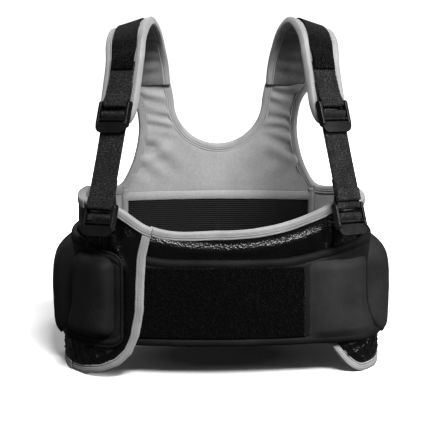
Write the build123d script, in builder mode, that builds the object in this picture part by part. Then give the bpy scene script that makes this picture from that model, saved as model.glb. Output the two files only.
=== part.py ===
"""A padded chest vest with a wide waist belt, shoulder straps and ladder-lock buckles.

Frame: millimetres, +Z up, the vest faces -Y, and right is the wearer's right, at -X. The origin is on the
floor under the middle of the whole vest. The torso is drawn about its own centre, and each finished piece is
then moved back by the forward overhang of the buckles. Every layer of cloth, foam or webbing is its own
solid. Distances from the outer skin of the torso are positive outwards. A run is a length along that skin
from the front centre, positive towards the right.
"""

from build123d import *

import os
from math import atan2, cos, degrees, radians, sin, sqrt

os.makedirs("parts", exist_ok=True)

# Torso outline: eight tangent arcs.
half_width = 186.0
half_depth = 120.0
front_radius = 600.0
corner_radius = 75.0
side_radius = 220.0
forward_overhang = 8.56

# Heights above the floor.
rim_height = 214.0
rim_dip = 31.0  # how far the rim drops at the front centre
rim_dip_reach = 135.0  # half the width of that dip
neck_height = 262.0
neck_radius = 62.0
armpit_height = 205.0
yoke_height = 345.0  # where the shoulder pads are sewn to the back
lining_height = 198.0  # the lining ends here and the mesh band starts
front_hem_height = 52.0
hem_height = 1.2

# Layers of the walls.
gap = 0.2  # between two layers
skin = 1.6
foam = 4.6
lining = 1.4
wall = skin + foam + lining + 2 * gap
tape = 1.2  # thickness of the tape that binds every edge
tape_width = 10.0

# Where the panels of the vest meet.
back_seam_x = 134.0
side_seam_x = 168.0
front_edge_x = -128.0

# Waist belt, over the walls.
belt_low = 42.0
belt_front_height = 150.0
belt_side_height = 171.0
belt_in = 0.4
belt_out = 8.4
belt_cover = 1.3
belt_start = 118.0  # run of its front end, under the flap
patch = 1.8
pod_depth = 25.8
pod_round = 9.0

# Front flap, at the wearer's right.
hinge_run = 193.0
hinge_gap = 0.5
flap_lift = 12.0  # how far its lining stands out where it covers the belt
flap_thickness = 5.6
lift_start = 188.0
lift_end = 113.0

# Webbing and ladder locks.
webbing_width = 38.0
webbing = 1.6
lock_width = 47.0
rail_width = 4.0
rail_depth = 8.4
rail_length = 33.0
bar_radius = 2.2
main_bar_drop = 12.0
ridge_drop = 19.2
lock_length = 36.0
loop_radius = bar_radius + 0.3 + webbing / 2

# The straight run of the left strap: a point low on it and its two directions.
strap_foot = Vector(154, -126.5, 212)
strap_up = Vector(-0.168, 0.305, 0.937).normalized()
strap_sideways = Vector(0.788, 0.616, 0)
strap_across = (strap_sideways - strap_up * strap_sideways.dot(strap_up)).normalized()
strap_out = strap_across.cross(strap_up)
upper_lock_at = 133.0  # along the strap, top bar of the upper lock
lower_lock_at = 6.0  # along the strap, top bar of the lower lock
lower_lock_in = -6.9
tail_ends = {"left": 14.0, "right": -8.0}  # the right strap's free end hangs over its lower lock

tab_round = 9.0
anchor_x = 152.0
anchor_heights = (173.0, 192.0)

pad_width = 56.0
pad_tip_width = 42.0
pad_thickness = 7.8
pad_tape = 8.5


def write(piece, name):
    """Moves a finished piece to its place over the origin, labels it and writes its STEP file."""
    placed = piece.part.moved(Location((0, forward_overhang, 0)))
    placed.label = name
    export_step(placed, f"parts/{name}.step")


def write_pair(left, name):
    """Writes a piece of the left side and its mirror image for the right side."""
    write(left, f"left_{name}")
    with BuildPart() as right:
        add(left.part.mirror(Plane.YZ))
    write(right, f"right_{name}")


# ---------------------------------------------------------------- outline of the torso

side_centre = half_width - side_radius
front_centre = half_depth - front_radius
to_front = front_radius - corner_radius
to_side = side_radius - corner_radius
span = sqrt(side_centre**2 + front_centre**2)
along = (to_front**2 - to_side**2 + span**2) / (2 * span)
across = sqrt(to_front**2 - along**2)
corner_x = (side_centre * along + -front_centre * across) / span
corner_y = front_centre + (-front_centre * along - side_centre * across) / span
front_turn = degrees(atan2(corner_y - front_centre, corner_x))
side_turn = degrees(atan2(corner_y, corner_x - side_centre))
front_run = radians(90 - front_turn) * front_radius
corner_run = radians(front_turn - side_turn) * corner_radius


def oval(distance):
    """The outline of the torso, moved outwards by a distance, as a face."""
    bend = front_turn - side_turn
    corner = corner_radius + distance
    front = front_radius + distance
    side = side_radius + distance
    with BuildSketch() as outline:
        with BuildLine():
            CenterArc((side_centre, 0), side, -side_turn, 2 * side_turn)
            CenterArc((corner_x, corner_y), corner, side_turn, bend)
            CenterArc((0, front_centre), front, front_turn, 180 - 2 * front_turn)
            CenterArc((-corner_x, corner_y), corner, 180 - front_turn, bend)
            CenterArc((-side_centre, 0), side, 180 - side_turn, 2 * side_turn)
            CenterArc((-corner_x, -corner_y), corner, 180 + side_turn, bend)
            CenterArc((0, -front_centre), front, 180 + front_turn, 180 - 2 * front_turn)
            CenterArc((corner_x, -corner_y), corner, 360 - front_turn, bend)
        make_face()
    return outline.sketch


def plan_point(run, distance):
    """The point of the outline at a run, moved outwards by a distance."""
    length = abs(run)
    sign = -1 if run > 0 else 1
    if length <= front_run:
        angle = length / front_radius
        size = front_radius + distance
        return Vector(sign * size * sin(angle), -front_centre - size * cos(angle))
    if length <= front_run + corner_run:
        angle = radians(front_turn) - (length - front_run) / corner_radius
        size = corner_radius + distance
        return Vector(sign * (corner_x + size * cos(angle)), -corner_y - size * sin(angle))
    angle = radians(side_turn) - (length - front_run - corner_run) / side_radius
    size = side_radius + distance
    return Vector(sign * (side_centre + size * cos(angle)), -size * sin(angle))


def ring(inner, outer, zone):
    """The part of the ring between two distances that lies in a zone, a polygon in plan."""
    with BuildSketch() as face:
        add(oval(outer))
        add(oval(inner), mode=Mode.SUBTRACT)
        Polygon(*zone, align=None, mode=Mode.INTERSECT)
    return face.sketch


def run_zone(start, end, inner, outer, count=15):
    """A polygon over the outline between two runs and two distances."""
    runs = [start + (end - start) * k / (count - 1) for k in range(count)]
    points = [plan_point(u, inner) for u in runs] + [plan_point(u, outer) for u in runs[::-1]]
    return [(p.X, p.Y) for p in points]


def run_face(start, end, inner, outer, bevel=0.0, count=13):
    """A face along part of the outline whose two distances are functions of the run."""
    shares = [k / (count - 1) for k in range(count)]
    near_runs = [start + (end - start) * share for share in shares]
    far_runs = [start + bevel + (end - start - 2 * bevel) * share for share in shares]
    with BuildSketch() as face:
        with BuildLine():
            near = Spline([plan_point(u, inner(u)) for u in near_runs])
            far = Spline([plan_point(u, outer(u)) for u in far_runs])
            Line(near @ 0, far @ 0)
            Line(near @ 1, far @ 1)
        make_face()
    return face.sketch


# ---------------------------------------------------------------- outlines of the panels

reach = 400.0


def under_rim():
    """Everything below the rim of the front, as seen from the front."""
    with BuildSketch() as face:
        with BuildLine():
            Polyline(
                (-rim_dip_reach, rim_height),
                (-reach, rim_height),
                (-reach, -50),
                (reach, -50),
                (reach, rim_height),
                (rim_dip_reach, rim_height),
            )
            ThreePointArc(
                (rim_dip_reach, rim_height), (0, rim_height - rim_dip), (-rim_dip_reach, rim_height)
            )
        make_face()
    return face.sketch


def front_panel():
    """The front panel from the front: it ends under the flap, and its hem drops to the floor at the left."""
    with BuildSketch() as face:
        with BuildLine():
            Polyline((167, hem_height), (reach, hem_height), (reach, 300), (front_edge_x, 300))
            Polyline((front_edge_x, 300), (front_edge_x, front_hem_height), (122, front_hem_height))
            ThreePointArc((122, front_hem_height), (140, 21), (167, hem_height))
        make_face()
        add(under_rim(), mode=Mode.INTERSECT)
    return face.sketch


def flap_panel():
    """The flap seen from the front: its free edge curves back to the hem."""
    with BuildSketch() as face:
        with BuildLine():
            ThreePointArc((-83, 204), (-95.5, 152), (-99, 96))
            ThreePointArc((-99, 96), (-108, 44), (-140, 11))
            Line((-140, 11), (-172, hem_height))
            Polyline((-172, hem_height), (-reach, hem_height), (-reach, 300), (-83, 300), (-83, 204))
        make_face()
        add(under_rim(), mode=Mode.INTERSECT)
    return face.sketch


def side_panel():
    """A side panel seen from the side: its rim falls to the armpit."""
    with BuildSketch() as face:
        Polygon(
            (-reach, hem_height),
            (reach, hem_height),
            (reach, armpit_height),
            (102, armpit_height),
            (62, rim_height),
            (-reach, rim_height),
            align=None,
        )
    return face.sketch


def back_panel():
    """The back panel seen from the front: it rises between the armholes and dips at the neck."""
    with BuildSketch() as face:
        with BuildLine():
            CenterArc((0, neck_height + neck_radius), neck_radius, -90, 90)
            Line((neck_radius, neck_height + neck_radius), (66, yoke_height))
            Line((66, yoke_height), (127, yoke_height))
            ThreePointArc((127, yoke_height), (109, 318), (106, 290))
            ThreePointArc((106, 290), (112, 250), (back_seam_x, armpit_height))
            side_foot = (back_seam_x, hem_height)
            Polyline((back_seam_x, armpit_height), side_foot, (0, hem_height), (0, neck_height))
        make_face()
        mirror(about=Plane.YZ)
    return face.sketch


def grown(panel, amount):
    """An outline moved outwards, or inwards when the amount is negative."""
    with BuildSketch() as face:
        add(panel)
        offset(amount=amount)
    return face.sketch


def stand(plan, panel, plane, depth):
    """A wall that stands on a plan and is trimmed to an outline drawn on a plane."""
    with BuildPart() as block:
        with BuildSketch(Plane.XY.offset(-20)):
            add(plan)
        extrude(amount=400)
        with BuildSketch(plane):
            add(panel)
        extrude(amount=depth, mode=Mode.INTERSECT)
    return block.part


def edge_tape(thick, thin, panel, plane, depth, window):
    """A tape folded over a wall's edge: plans of the tape and of the wall, and the window it is cut to."""
    with BuildPart() as strip:
        add(stand(thick, grown(panel, tape), plane, depth))
        add(stand(thick, grown(panel, -tape_width), plane, depth), mode=Mode.SUBTRACT)
        add(stand(thin, grown(panel, gap), plane, depth), mode=Mode.SUBTRACT)
        with BuildSketch(plane):
            Polygon(*window, align=None)
        extrude(amount=depth, mode=Mode.INTERSECT)
    return strip.part


def box_window(low_x, high_x, low_z, high_z):
    """The corners of a rectangle."""
    return [(low_x, low_z), (high_x, low_z), (high_x, high_z), (low_x, high_z)]


# ---------------------------------------------------------------- zones in plan

hinge_near = plan_point(hinge_run + hinge_gap, -60)
hinge_far = plan_point(hinge_run + hinge_gap, 200)
front_zone = [(front_edge_x - 20, 0), (side_seam_x, 0), (side_seam_x, -reach), (front_edge_x - 20, -reach)]
front_tape_zone = [(front_edge_x - 20, 0), (170, 0), (170, -reach), (front_edge_x - 20, -reach)]
back_zone = [(-back_seam_x, 0), (back_seam_x, 0), (back_seam_x, reach), (-back_seam_x, reach)]
left_zone = [
    (back_seam_x + gap, reach),
    (back_seam_x + gap, 0),
    (side_seam_x + gap, 0),
    (side_seam_x + gap, -reach),
    (reach, -reach),
    (reach, reach),
]
right_zone = [
    (-back_seam_x - gap, reach),
    (-back_seam_x - gap, hinge_near.Y),
    (hinge_near.X, hinge_near.Y),
    (hinge_far.X, hinge_far.Y),
    (-reach, reach),
]

hem_zone = [(0, 0), (side_seam_x, 0), (side_seam_x, -reach)]
hem_zone += [(reach, -reach), (reach, reach), (-reach, reach)]
hem_zone += [(-reach, hinge_far.Y), (hinge_far.X, hinge_far.Y), (hinge_near.X, hinge_near.Y)]

shell_in = -skin
foam_out = shell_in - gap
foam_in = foam_out - foam
lining_out = foam_in - gap
thick_in = -wall - gap - tape
thick_out = gap + tape
thin_in = -wall - gap
thin_out = gap

# ---------------------------------------------------------------- back, sides and front of the vest

layers = (("shell", shell_in, 0.0), ("foam", foam_in, foam_out), ("lining", -wall, lining_out))
for name, inner, outer in layers:
    back_plan = ring(inner, outer, back_zone)
    with BuildPart() as back_layer:
        add(stand(back_plan, back_panel(), Plane.XZ, -reach))
        if name == "lining":
            split(bisect_by=Plane.XY.offset(lining_height))
    write(back_layer, f"back_{name}")
    with BuildPart() as front_layer:
        add(stand(ring(inner, outer, front_zone), front_panel(), Plane.XZ, reach))
    write(front_layer, f"front_{name}")
    with BuildPart() as left_layer:
        add(stand(ring(inner, outer, left_zone), side_panel(), Plane.YZ, reach))
    write(left_layer, f"left_side_{name}")
    with BuildPart() as right_layer:
        add(stand(ring(inner, outer, right_zone), side_panel(), Plane.YZ, -reach))
    write(right_layer, f"right_side_{name}")

with BuildPart() as lumbar_mesh:
    with BuildSketch(Plane.XY.offset(hem_height)):
        add(ring(-wall, lining_out, back_zone))
    extrude(amount=lining_height - gap - hem_height)
write(lumbar_mesh, "lumbar_mesh")

with BuildPart() as seam_tapes:
    with BuildSketch(Plane.XY.offset(12)):
        add(ring(-wall - 1.0, -wall - gap, [(124, 0), (140, 0), (140, reach), (124, reach)]))
    extrude(amount=armpit_height - 34)
    mirror(about=Plane.YZ)
write(seam_tapes, "seam_tapes")

# ---------------------------------------------------------------- edge bindings of the vest

back_thick = ring(thick_in, thick_out, back_zone)
back_thin = ring(thin_in, thin_out, back_zone)
with BuildPart() as neckline_binding:
    add(edge_tape(back_thick, back_thin, back_panel(), Plane.XZ, -reach, box_window(-90, 90, 240, 344)))
write(neckline_binding, "neckline_binding")

with BuildPart() as left_armhole:
    add(edge_tape(back_thick, back_thin, back_panel(), Plane.XZ, -reach, box_window(92, 133.8, 190, 344)))
write_pair(left_armhole, "armhole_binding")

with BuildPart() as left_side_rim:
    thick = ring(thick_in, thick_out, left_zone)
    thin = ring(thin_in, thin_out, left_zone)
    add(edge_tape(thick, thin, side_panel(), Plane.YZ, reach, box_window(-reach, reach, 150, 300)))
    add(
        edge_tape(
            ring(thick_in, thick_out, front_tape_zone),
            ring(thin_in, thin_out, front_tape_zone),
            front_panel(),
            Plane.XZ,
            reach,
            box_window(-78, 170, 150, 300),
        )
    )
write(left_side_rim, "front_rim_binding")

with BuildPart() as right_side_rim:
    thick = ring(thick_in, thick_out, right_zone)
    thin = ring(thin_in, thin_out, right_zone)
    add(edge_tape(thick, thin, side_panel(), Plane.YZ, -reach, box_window(-reach, reach, 150, 300)))
write(right_side_rim, "right_rim_binding")

with BuildPart() as hem_binding:
    add(
        edge_tape(
            ring(thick_in, thick_out, front_tape_zone),
            ring(thin_in, thin_out, front_tape_zone),
            front_panel(),
            Plane.XZ,
            reach,
            box_window(front_edge_x + 12, 170, -20, 66),
        )
    )
    with BuildSketch():
        add(ring(thick_in, thick_out, hem_zone))
    extrude(amount=tape_width + tape)
    with BuildSketch(Plane.XY.offset(hem_height - gap)):
        add(ring(thin_in, thin_out, hem_zone))
    extrude(amount=tape_width + tape, mode=Mode.SUBTRACT)
    with BuildSketch(Plane.XY.offset(belt_low - gap)):
        add(ring(gap / 2, belt_out, front_tape_zone))
    extrude(amount=belt_front_height - belt_low, mode=Mode.SUBTRACT)
write(hem_binding, "hem_binding")

# ---------------------------------------------------------------- waist belt


def belt_outline():
    """The belt seen from the front: its top edge rises from the front to the sides."""
    with BuildSketch() as face:
        with BuildLine():
            Line((0, belt_low), (reach, belt_low))
            Line((reach, belt_low), (reach, belt_side_height))
            Line((reach, belt_side_height), (184, belt_side_height))
            ThreePointArc((184, belt_side_height), (112, 155), (40, belt_front_height))
            Polyline((40, belt_front_height), (0, belt_front_height), (0, belt_low))
        make_face()
        mirror(about=Plane.YZ)
    return face.sketch


def belt_band(inner, outer, shrink):
    """A band that follows the outline from under the flap, round the back, to the hinge of the flap."""
    with BuildPart() as band:
        with BuildSketch(Plane.XY.offset(belt_low + shrink)):
            add(oval(outer))
            add(oval(inner), mode=Mode.SUBTRACT)
            ends = (belt_start - shrink, hinge_run + hinge_gap + shrink)
            Polygon(*run_zone(*ends, -60, 200), align=None, mode=Mode.SUBTRACT)
        extrude(amount=belt_side_height - belt_low - 2 * shrink)
        with BuildSketch(Plane.XZ):
            add(grown(belt_outline(), -shrink) if shrink else belt_outline())
        extrude(amount=reach, both=True, mode=Mode.INTERSECT)
    return band.part


with BuildPart() as belt_cover_piece:
    add(belt_band(belt_in, belt_out, 0.0))
    add(belt_band(belt_in + belt_cover, belt_out - belt_cover, belt_cover), mode=Mode.SUBTRACT)
write(belt_cover_piece, "belt_cover")

with BuildPart() as belt_core:
    inset = belt_cover + gap
    add(belt_band(belt_in + inset, belt_out - inset, inset))
write(belt_core, "belt_core")

with BuildPart() as loop_patch:
    with BuildSketch(Plane.XY.offset(52)):
        add(ring(belt_out + 0.1, belt_out + 0.1 + patch, run_zone(-98, belt_start - 4, 0, 40)))
    extrude(amount=90)
write(loop_patch, "loop_patch")

# ---------------------------------------------------------------- front flap


def lift(run):
    """How far the flap has risen over the belt at a run, from 0 at its hinge to 1 at its free edge."""
    share = min(max((lift_start - run) / (lift_start - lift_end), 0.0), 1.0)
    return share * share * (3 - 2 * share)


def flap_at(share, extra=0.0):
    """The distance of a layer of the flap, by run: share 0 is its lining, 1 its outer skin."""

    def distance(run):
        inner = -wall + (flap_lift + wall) * lift(run)
        outer = (flap_lift + flap_thickness) * lift(run)
        return inner + (outer - inner) * share + extra

    return distance


flap_end = hinge_run - hinge_gap
flap_tip = 74.0
flap_shape = flap_panel()
flap_layers = (("flap_shell", 0.79, 1.0), ("flap_foam", 0.21, 0.77), ("flap_lining", 0.0, 0.19))
for name, low_share, high_share in flap_layers:
    with BuildPart() as flap_layer:
        layer_plan = run_face(flap_tip, flap_end, flap_at(low_share), flap_at(high_share))
        add(stand(layer_plan, flap_shape, Plane.XZ, reach))
    write(flap_layer, name)

flap_thick = run_face(flap_tip - 3, flap_end, flap_at(0, -gap - tape), flap_at(1, gap + tape))
flap_thin = run_face(flap_tip - 3, flap_end, flap_at(0, -gap), flap_at(1, gap))
with BuildPart() as flap_rim_binding:
    rim_window = [(-230, 190), (-98, 190), (-98, 240), (-230, 240)]
    add(edge_tape(flap_thick, flap_thin, flap_shape, Plane.XZ, reach, rim_window))
write(flap_rim_binding, "flap_rim_binding")

with BuildPart() as flap_edge_binding:
    window = [(-230, -20), (-60, -20), (-60, 210), (-97.8, 210), (-97.8, 100), (-230, 100)]
    add(edge_tape(flap_thick, flap_thin, flap_shape, Plane.XZ, reach, window))
write(flap_edge_binding, "flap_edge_binding")

with BuildPart() as hook_patch:
    with BuildSketch(Plane.XY.offset(66)):
        add(ring(belt_out + patch + gap, flap_lift - 0.3, run_zone(113, 117, 0, 40)))
    extrude(amount=72)
write(hook_patch, "hook_patch")


def belt_end_block(inset):
    """The end of the belt that is sewn on the flap, with its front corners rounded."""
    start = 122 + inset
    end = flap_end - inset
    with BuildPart() as block:
        with BuildSketch(Plane.XY.offset(44 + inset)):
            add(run_face(start, end, flap_at(1, 0.4 + inset), flap_at(1, 8.4 - inset)))
        extrude(amount=124 - 2 * inset)
        with BuildSketch(Plane.XZ):
            with Locations((-222, 106)):
                RectangleRounded(200 - 2 * inset, 124 - 2 * inset, 14 - inset)
        extrude(amount=reach, mode=Mode.INTERSECT)
    return block.part


with BuildPart() as belt_end_cover:
    add(belt_end_block(0.0))
    add(belt_end_block(belt_cover), mode=Mode.SUBTRACT)
write(belt_end_cover, "belt_end_cover")

with BuildPart() as belt_end_core:
    add(belt_end_block(belt_cover + gap))
write(belt_end_core, "belt_end_core")

with BuildPart() as belt_end_piping:
    with BuildSketch(Plane.XY.offset(43)):
        add(run_face(121.5, flap_end - 8, flap_at(1, 8.6), flap_at(1, 11.0)))
    extrude(amount=126)
    for width, height, radius, mode in ((200, 124, 14, Mode.INTERSECT), (194, 118, 11, Mode.SUBTRACT)):
        with BuildSketch(Plane.XZ):
            with Locations((-222, 106)):
                RectangleRounded(width, height, radius)
        extrude(amount=reach, mode=mode)
write(belt_end_piping, "belt_end_piping")

# ---------------------------------------------------------------- pods: moulded pads on the belt


def pod_block(face, low, high, rounding):
    """A pad that stands on a plan, with all its edges rounded but those against the belt."""
    with BuildPart() as block:
        with BuildSketch(Plane.XY.offset(low)):
            add(face)
        extrude(amount=high - low)
        curved = block.faces().filter_by(GeomType.PLANE, reverse=True)
        against = curved.sort_by_distance((0, 0, (low + high) / 2))[0]
        fillet(block.edges() - against.edges(), rounding)
    return block.part


def write_pod(name, plan, low, high, rounding):
    """Writes the cover and the core of a pad whose plan is a function of an inset."""
    inset = belt_cover + 5 * gap
    with BuildPart() as cover:
        add(pod_block(plan(0.0), low, high, rounding))
        inside = pod_block(plan(belt_cover), low + belt_cover, high - belt_cover, rounding - belt_cover)
        add(inside, mode=Mode.SUBTRACT)
    write(cover, f"{name}_cover")
    with BuildPart() as core:
        add(pod_block(plan(inset), low + inset, high - inset, rounding - inset))
    write(core, f"{name}_core")


belt_pads = (
    ("left_front_pad", 104, 187, 45, 148, belt_out + 0.4, 7.0, 3.0, 4.0),
    ("left_side_pod", 201, 330, 40, 158, belt_out + 0.4, pod_depth, 16.0, pod_round),
    ("right_side_pod", 201, 330, 40, 158, belt_out + 0.4, pod_depth, 16.0, pod_round),
)
for name, start, end, low, high, base, depth, bevel, rounding in belt_pads:
    side = 1 if name.startswith("right") else -1

    def pod_plan(inset):
        """The plan of this pad, smaller by an inset."""
        ends = (side * (start + inset), side * (end - inset))
        return run_face(*ends, lambda u: base + inset, lambda u: base + depth - inset, side * bevel)

    write_pod(name, pod_plan, low, high, rounding)


def front_pod_plan(inset):
    """The plan of the pad on the end of the belt."""
    inner = flap_at(1, 8.8 + inset)
    outer = flap_at(1, 8.8 + 20.0 - inset)
    return run_face(130 + inset, 188 - inset, inner, outer)


write_pod("right_front_pod", front_pod_plan, 57, 154, pod_round)

# ---------------------------------------------------------------- shoulder pads


def on_strap(along_strap, out=0.0):
    """A point of the left strap."""
    return strap_foot + strap_up * along_strap + strap_out * out


# Stations from the yoke, over the shoulder, to the tip: a centre and a direction across.
pad_stations = (
    (Vector(98, 107.5, 346.4), Vector(1, 0, 0)),
    (Vector(99.5, 101, 380), Vector(0.99, 0.08, 0)),
    (Vector(103, 78, 410), Vector(0.96, 0.2, -0.1)),
    (Vector(109, 40, 426), Vector(0.9, 0.3, -0.25)),
    (Vector(114, 0, 427), Vector(0.86, 0.4, -0.3)),
    (Vector(118.5, -38, 414), Vector(0.83, 0.5, -0.2)),
    (on_strap(190, -6.6), strap_across),
    (on_strap(150, -9.4), strap_across),
    (on_strap(112, -11.6), strap_across),
)
slices_per_station = 3
with BuildLine() as pad_line:
    Spline([centre for centre, sideways in pad_stations], tangents=[(0.02, -0.02, 1), -strap_up])
pad_path = pad_line.edges()[0]


def pad_slices(first, last):
    """Planes across the pad from one station to another, with X across and Y outwards."""
    places = []
    for index in range(first, last):
        for part in range(slices_per_station):
            places.append(index + part / slices_per_station)
    places.append(last)
    slices = []
    for place in places:
        index = min(int(place), len(pad_stations) - 2)
        share = place - index
        ends = [pad_path.param_at_point(pad_stations[k][0]) for k in (index, index + 1)]
        where = ends[0] + (ends[1] - ends[0]) * share
        sideways = pad_stations[index][1] * (1 - share) + pad_stations[index + 1][1] * share
        slices.append(Plane(origin=pad_path @ where, x_dir=sideways, z_dir=pad_path % where))
    return slices


def pad_layer(width, low, high, first=0, last=8, tip_width=None):
    """A layer of the pad between two distances from its middle, narrower at the tip if a width is given."""
    slices = pad_slices(first, last)
    with BuildPart() as layer:
        for number, station in enumerate(slices):
            slice_width = tip_width if tip_width and number == len(slices) - 1 else width
            with BuildSketch(station):
                with Locations((0, (low + high) / 2)):
                    Rectangle(slice_width, high - low)
        loft(ruled=True)
    return layer.part


half_pad = pad_thickness / 2
pad_layers = (
    ("pad_cover", half_pad - skin, half_pad),
    ("pad_foam", half_pad - skin - gap - foam + 0.2, half_pad - skin - gap),
    ("pad_lining", -half_pad, -half_pad + lining - gap),
)
for name, low, high in pad_layers:
    with BuildPart() as left_pad:
        add(pad_layer(pad_width, low, high, tip_width=pad_tip_width))
    write_pair(left_pad, name)

with BuildPart() as pad_binding:
    around = gap + tape
    tape_tip = pad_tip_width + 2 * around
    add(pad_layer(pad_width + 2 * around, -half_pad - around, half_pad + around, tip_width=tape_tip))
    room_tip = pad_tip_width + 2 * gap
    pad_room = pad_layer(pad_width + 2 * gap, -half_pad - gap, half_pad + gap, tip_width=room_tip)
    add(pad_room, mode=Mode.SUBTRACT)
    add(pad_layer(pad_width - 2 * pad_tape, -half_pad - 4, half_pad + 4), mode=Mode.SUBTRACT)
write_pair(pad_binding, "pad_binding")

with BuildPart() as loop_strip:
    add(pad_layer(webbing_width - 2, half_pad + 0.3, half_pad + 0.3 + webbing, last=6))
write_pair(loop_strip, "loop_strip")

# ---------------------------------------------------------------- webbing

side_view = Plane(origin=strap_foot, x_dir=strap_up, z_dir=strap_across)


def round_bar(along_strap, out, start, bend):
    """The middle line of webbing round a bar, from a start angle through a bend, in degrees."""
    return CenterArc((along_strap, out), loop_radius, start, bend)


with BuildPart() as upper_webbing:
    top = upper_lock_at
    with BuildSketch(side_view):
        with BuildLine():
            flat_part = ((top + 54, 1.3), (top + 30, -0.1), (top + 14, -0.4))
            Polyline(*flat_part, (top + 4, loop_radius), (top, loop_radius))
        trace(line_width=webbing)
        with BuildLine():
            round_bar(top, 0, 90, 180)
        trace(line_width=webbing)
        with BuildLine():
            Polyline((top, -loop_radius), (top + 3, -loop_radius), (top + 13, -2.1), (top + 20, -2.3))
        trace(line_width=webbing)
    extrude(amount=webbing_width / 2, both=True)
write_pair(upper_webbing, "upper_webbing")


def adjuster(tail_end):
    """Webbing of the left side, from the lower lock up through the upper lock and down to its free end."""
    low_bar = lower_lock_at
    low_out = lower_lock_in
    main_bar = upper_lock_at - main_bar_drop
    with BuildPart() as strap:
        with BuildSketch(side_view):
            with BuildLine():
                Polyline((low_bar + 34, -5.1), (low_bar + 17, -5.1), (low_bar + 5, low_out - loop_radius))
            trace(line_width=webbing)
            with BuildLine():
                Line((low_bar + 5, low_out - loop_radius), (low_bar, low_out - loop_radius))
                round_bar(low_bar, low_out, -90, -180)
                Polyline((low_bar, -3.6), (main_bar - 3, -3.6), (main_bar, -loop_radius))
            trace(line_width=webbing)
            with BuildLine():
                arc = round_bar(main_bar, 0, -90, 225)
                Polyline(arc @ 1, (main_bar - 6.2, -1.5), (tail_end, -1.5))
            trace(line_width=webbing)
            with Locations((tail_end + 6, -0.4)):
                Rectangle(13, webbing)
        extrude(amount=webbing_width / 2, both=True)
    return strap.part


with BuildPart() as left_adjuster:
    add(adjuster(tail_ends["left"]))
write(left_adjuster, "left_adjuster_strap")

with BuildPart() as right_adjuster:
    add(adjuster(tail_ends["right"]).mirror(Plane.YZ))
write(right_adjuster, "right_adjuster_strap")


def anchor_web(surface):
    """The webbing that holds the lower lock, sewn to a wall that stands out from the vest by a distance."""
    bar = lower_lock_at - main_bar_drop
    size = corner_radius + surface + webbing / 2 + 0.5
    foot_y = -corner_y - sqrt(size**2 - (anchor_x - corner_x) ** 2)
    ends = []
    for height in anchor_heights:
        step = Vector(anchor_x, foot_y, height) - strap_foot
        ends.append((step.dot(strap_up), step.dot(strap_out)))
    with BuildPart() as web:
        with BuildSketch(side_view):
            with BuildLine():
                Polyline(*ends, (bar - 3, lower_lock_in - 3.6), (bar, lower_lock_in - loop_radius))
            trace(line_width=webbing)
            with BuildLine():
                arc = round_bar(bar, lower_lock_in, -90, 225)
                Polyline(arc @ 1, (bar - 6.2, lower_lock_in - 1.2), (bar - 17, lower_lock_in - 1.2))
            trace(line_width=webbing)
        extrude(amount=webbing_width / 2, both=True)
    return web.part


with BuildPart() as left_anchor:
    add(anchor_web(0.0))
write(left_anchor, "left_anchor_webbing")

with BuildPart() as right_anchor:
    add(anchor_web(flap_at(1)(128)).mirror(Plane.YZ))
write(right_anchor, "right_anchor_webbing")

# ---------------------------------------------------------------- ladder locks


def ladder_lock(along_strap, out):
    """A ladder lock: two rails, the bar that is sewn in, the main bar, a ridge and a thumb tab."""
    origin = on_strap(along_strap, out)
    side = Plane(origin=origin, x_dir=strap_up, z_dir=strap_across)
    face = Plane(origin=origin, x_dir=strap_across, z_dir=strap_out)
    inside = lock_width / 2 - rail_width
    with BuildPart() as lock:
        for step in (inside, -lock_width / 2):
            with BuildSketch(side.offset(step)):
                with Locations((4.4 - rail_length / 2, 0.9)):
                    RectangleRounded(rail_length, rail_depth, rail_depth / 2 - 0.1)
            extrude(amount=rail_width)
        fillet(lock.faces().filter_by(Plane(side.origin, z_dir=side.z_dir)).edges(), 0.8)
        with BuildSketch(side):
            Circle(bar_radius)
            with Locations((-main_bar_drop, 0)):
                Circle(bar_radius)
            with Locations((-ridge_drop, 2.4)):
                RectangleRounded(3.6, 3.0, 1.2)
        extrude(amount=inside + 1, both=True)
        with BuildSketch(face.offset(0.8)):
            with BuildLine():
                tab_side = lock_width / 2
                Line((-tab_side, -23), (tab_side, -23))
                Line((tab_side, -23), (tab_side, -lock_length + tab_round))
                tab_end = tab_round - lock_length
                RadiusArc((tab_side, tab_end), (tab_side - tab_round, -lock_length), tab_round)
                Line((tab_side - tab_round, -lock_length), (-tab_side + tab_round, -lock_length))
                RadiusArc((-tab_side + tab_round, -lock_length), (-tab_side, tab_end), tab_round)
                Line((-tab_side, -lock_length + tab_round), (-tab_side, -23))
            make_face()
        extrude(amount=3.2)
    return lock.part


locks = (("upper_lock", upper_lock_at, 0.0), ("lower_lock", lower_lock_at, lower_lock_in))
for name, along_strap, out in locks:
    with BuildPart() as left_lock:
        add(ladder_lock(along_strap, out))
    write_pair(left_lock, name)
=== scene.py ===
import bpy
import numpy as np
from math import atan2, cos, pi, sin, sqrt
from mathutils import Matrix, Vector
from mathutils.kdtree import KDTree


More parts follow.
